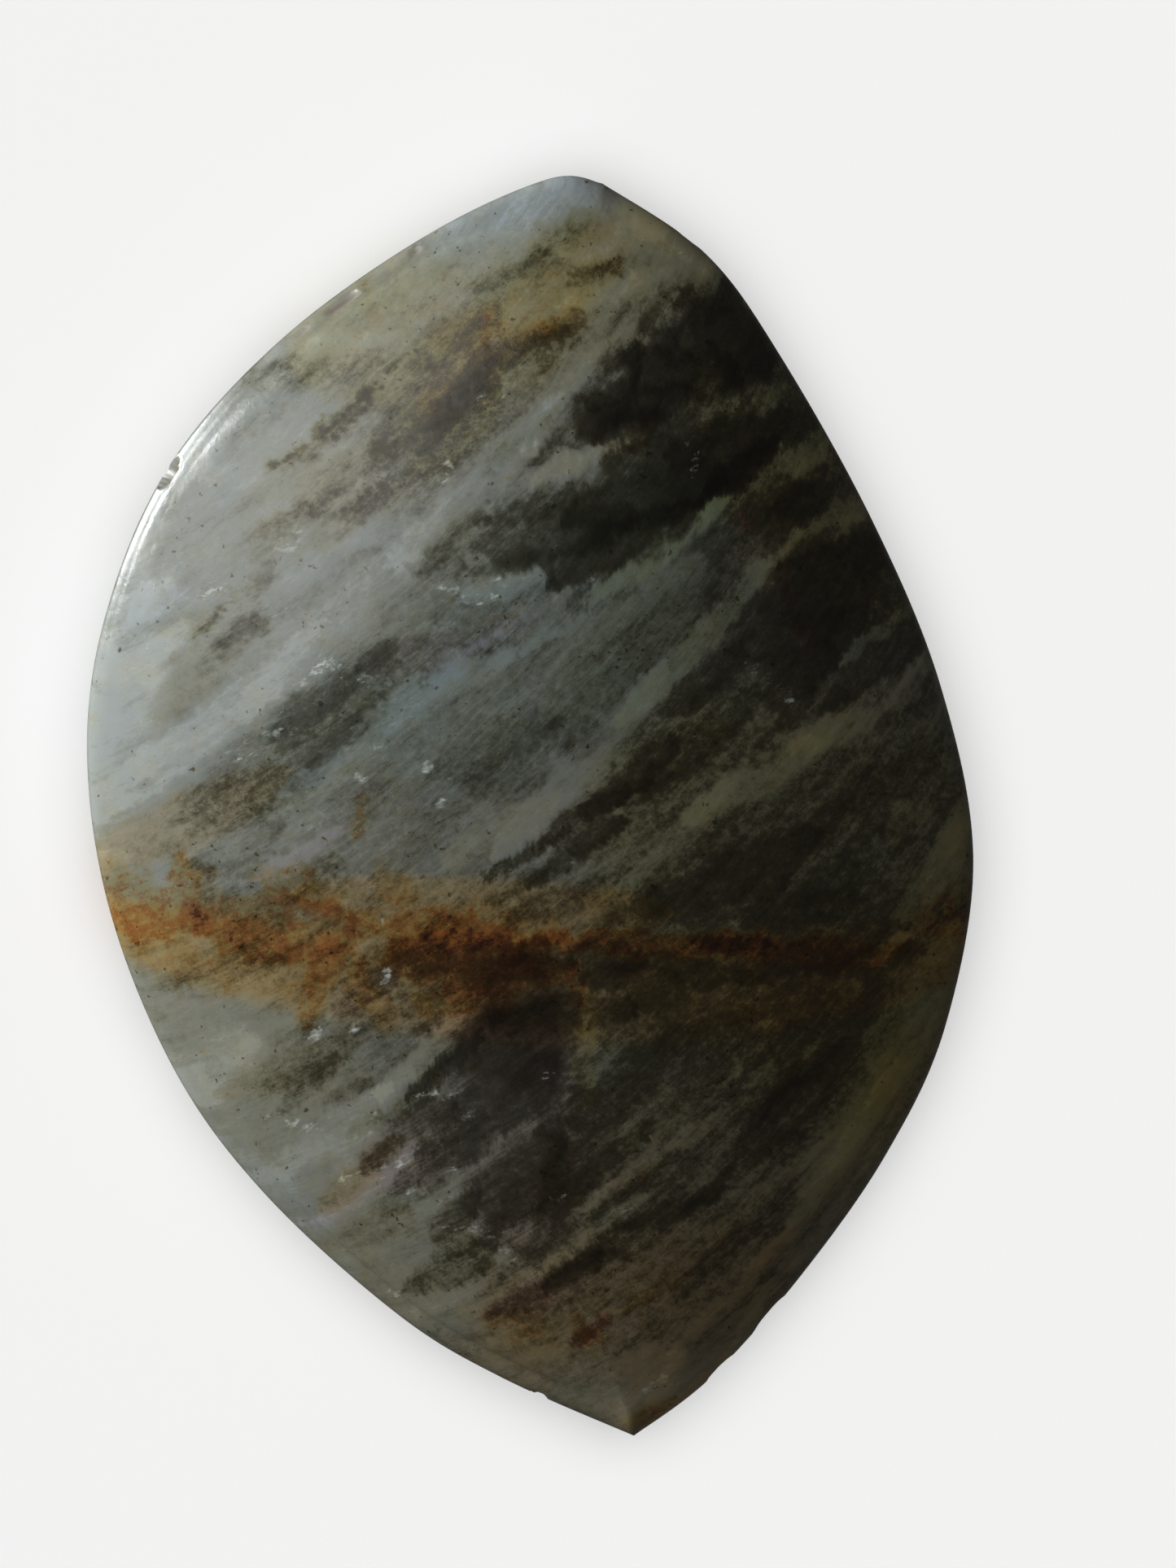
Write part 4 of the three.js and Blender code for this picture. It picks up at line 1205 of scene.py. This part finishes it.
def glinting(make, solid, rock, colours):
    """Fine cracks and flecks that catch the light, thick where the glint is strong."""
    density = attribute(make, "glint")["Fac"]
    there = make.spread(density, *GLINT_PLACE)
    folds = textured(make, solid, FOLDS).outputs[0]
    flecks = textured(make, solid, FLECKS).outputs[0]
    cracks = make.spread(distance_from(make, folds, 0.5), *CRACK_LINE)
    broken = make.math("MULTIPLY", cracks, make.spread(flecks, *CRACK_BREAKS))
    lit = make.vector("MULTIPLY_ADD", rock, CRACK_GAIN, CRACK_LIFT)
    rock = make.mix("RGBA", make.math("MULTIPLY", broken, there), rock, lit)
    crowded = make.math("MULTIPLY_ADD", density, FLECK_CROWDING, flecks)
    shine = make.math("MULTIPLY", make.spread(crowded, *FLECK_SHINE), there)
    return make.mix("RGBA", shine, rock, colours.glint)


def new_material(name):
    """A new material, the maker of its nodes and its shader."""
    material = bpy.data.materials.new(name)
    material.use_nodes = True
    return material, NodeMaker(material.node_tree), material.node_tree.nodes["Principled BSDF"]


def milky_labradorite(colours):
    """The polished rock, with its pattern, stains and glints, and bare where the rim is chipped."""
    material, make, principled = new_material("milky_labradorite")
    solid = make.vector("SCALE", make.add("ShaderNodeTexCoord").outputs["Object"], 1 / MM)
    rock = rock_colour(make, solid, layered(make, solid), colours)
    rock = rusted(make, solid, rock, colours)
    rock = specked(make, solid, rock, colours)
    rock = glinting(make, solid, rock, colours)
    chipped = attribute(make, "chipped")["Fac"]
    make.plug(principled.inputs["Base Color"], make.mix("RGBA", chipped, rock, colours.chip))
    polish = make.spread(textured(make, solid, POLISH).outputs[0], *POLISH_ROUGHNESS)
    make.plug(principled.inputs["Roughness"], make.mix("FLOAT", chipped, polish, CHIP_ROUGHNESS))
    principled.inputs["IOR"].default_value = REFRACTION
    skin = textured(make, solid, SKIN).outputs[0]
    bump = make.add("ShaderNodeBump", {"Height": skin, "Distance": SKIN_DEPTH, "Strength": 1.0})
    make.plug(principled.inputs["Normal"], bump.outputs[0])
    return material


class CABOCHON_OT_stone(bpy.types.Operator):
    """Make the polished stone"""

    bl_idname = "cabochon.stone"
    bl_label = "Stone"

    def execute(self, context):
        scene = context.scene
        material = milky_labradorite(scene.cabochon_colours)
        stone = cut_stone(scene.cabochon_shape, scene.cabochon_wear, material)
        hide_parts(NODE)
        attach(stone, BODY)
        return {"FINISHED"}


# Half the floor's side, how rough it is, and where on the level of the stone's rim the camera looks.
FLOOR_REACH = 1.5
FLOOR_ROUGHNESS = 0.9
LOOKED_AT = Vector((1.84, 0.69, 1.5)) * MM


class Lamp(NamedTuple):
    """A rectangular lamp aimed at the stone; the angles are in degrees, the sizes in metres."""

    name: str
    radiance: float
    azimuth: float
    elevation: float
    distance: float
    size: tuple
    colour: tuple
    lights: str = PIECE
    mirrored: bool = True
    casts_shadow: bool = True


LAMPS = (
    Lamp("daylight", 11.5, 158, 18, 0.4, (0.34, 0.2), (0.93, 0.97, 1.0), mirrored=False),
    Lamp("window", 40.0, 150, 10, 0.4, (0.12, 0.06), (0.93, 0.97, 1.0)),
    Lamp("paper_glow", 14.0, 150, -22, 0.4, (0.12, 0.24), (0.97, 0.98, 1.0)),
    Lamp("sky", 1.6, 135, 45, 0.4, (0.3, 0.2), (0.97, 0.98, 1.0)),
    Lamp("bounce", 0.12, 0, 90, 0.6, (1.2, 1.2), (1.0, 0.9, 0.7), mirrored=False),
    Lamp("ceiling", 1.15, 0, 90, 0.6, (1.2, 1.2), (1.0, 1.0, 1.0), lights="floor"),
    Lamp("floor_fill", 1.45, 0, 90, 0.6, (1.2, 1.2), (1.0, 1.0, 1.0), lights="floor", casts_shadow=False),
)


def from_angles(azimuth, elevation, distance):
    """A place at a compass angle counted from +X, a height angle and a distance from the stone."""
    flat = distance * math.cos(elevation)
    return Vector((flat * math.cos(azimuth), flat * math.sin(azimuth), distance * math.sin(elevation)))


def set_lamp(lamp):
    """Hangs a lamp that the camera doesn't see and that lights one thing only."""
    light = bpy.data.lights.new(lamp.name, "AREA")
    light.shape = "RECTANGLE"
    light.size, light.size_y = lamp.size
    light.energy = lamp.radiance * math.pi * lamp.size[0] * lamp.size[1]
    light.color = lamp.colour
    light.use_shadow = lamp.casts_shadow
    thing = new_object(lamp.name, light)
    place = from_angles(math.radians(lamp.azimuth), math.radians(lamp.elevation), lamp.distance)
    thing.location = place
    thing.rotation_euler = (-place).to_track_quat("-Z", "Y").to_euler()
    thing.visible_camera = False
    thing.visible_glossy = lamp.mirrored
    receivers = bpy.data.collections.new(f"{lamp.name}_lights")
    receivers.objects.link(bpy.data.objects[lamp.lights])
    thing.light_linking.receiver_collection = receivers


def lay_floor(settings):
    """A plain floor that catches the stone's shadow and isn't mirrored in its polish."""
    mesh = bpy.data.meshes.new("floor")
    corners = [(x * FLOOR_REACH, y * FLOOR_REACH, 0) for x, y in ((-1, -1), (1, -1), (1, 1), (-1, 1))]
    mesh.from_pydata(corners, [], [(0, 1, 2, 3)])
    floor = new_object("floor", mesh)
    material, _, principled = new_material("pale_floor")
    principled.inputs["Base Color"].default_value = settings.floor
    principled.inputs["Roughness"].default_value = FLOOR_ROUGHNESS
    mesh.materials.append(material)
    floor.visible_diffuse = False
    floor.visible_glossy = False
    floor.visible_shadow = False


def light_room(scene, settings):
    """A dim room that is seen as a pale one, so that dark stone stays dark in front of it."""
    world = bpy.data.worlds.new("room")
    scene.world = world
    world.use_nodes = True
    make = NodeMaker(world.node_tree)
    seen = make.add("ShaderNodeLightPath").outputs["Is Camera Ray"]
    background = world.node_tree.nodes["Background"]
    make.plug(background.inputs["Color"], make.mix("RGBA", seen, settings.room, settings.backdrop))
    level = make.spread(seen, 0.0, 1.0, settings.room_level, settings.backdrop_level)
    make.plug(background.inputs["Strength"], level)


def set_camera(scene, settings):
    """A camera that looks straight down."""
    data = bpy.data.cameras.new("camera")
    data.sensor_fit = "VERTICAL"
    data.sensor_height = 36
    data.lens = data.sensor_height * settings.camera_distance / settings.view_height
    data.clip_start = 0.01
    camera = new_object("camera", data)
    camera.location = LOOKED_AT + Vector((0, 0, settings.camera_distance))
    scene.camera = camera
    scene.view_settings.view_transform = "Standard"


class CABOCHON_OT_stage(bpy.types.Operator):
    """Set the floor, the daylight and the camera"""

    bl_idname = "cabochon.stage"
    bl_label = "Stage"

    def execute(self, context):
        scene = context.scene
        lay_floor(scene.cabochon_stage)
        for lamp in LAMPS:
            set_lamp(lamp)
        light_room(scene, scene.cabochon_stage)
        set_camera(scene, scene.cabochon_stage)
        return {"FINISHED"}


class CABOCHON_PT_panel(bpy.types.Panel):
    """Lists the stone's settings and the steps that make it"""

    bl_label = "Cabochon"
    bl_idname = "CABOCHON_PT_panel"
    bl_space_type = "VIEW_3D"
    bl_region_type = "UI"
    bl_category = "Cabochon"

    def draw(self, context):
        column = self.layout.column(align=True)
        for group in SETTINGS:
            for name in SETTINGS[group].__annotations__:
                column.prop(getattr(context.scene, group), name)
        column.operator(CABOCHON_OT_stone.bl_idname)
        column.operator(CABOCHON_OT_stage.bl_idname)


SETTINGS = {
    "cabochon_shape": CabochonShape,
    "cabochon_wear": CabochonWear,
    "cabochon_colours": CabochonColours,
    "cabochon_stage": CabochonStage,
}
CLASSES = (*SETTINGS.values(), CABOCHON_OT_stone, CABOCHON_OT_stage, CABOCHON_PT_panel)


def register():
    """Adds the classes and gives the scene its settings."""
    for cls in CLASSES:
        bpy.utils.register_class(cls)
    for name, group in SETTINGS.items():
        setattr(bpy.types.Scene, name, bpy.props.PointerProperty(type=group))


def unregister():
    """Takes away what register adds."""
    for name in SETTINGS:
        delattr(bpy.types.Scene, name)
    for cls in reversed(CLASSES):
        bpy.utils.unregister_class(cls)


def main():
    """Makes the stone and its stage."""
    register()
    bpy.ops.cabochon.stone()
    bpy.ops.cabochon.stage()


if __name__ == "__main__":
    main()
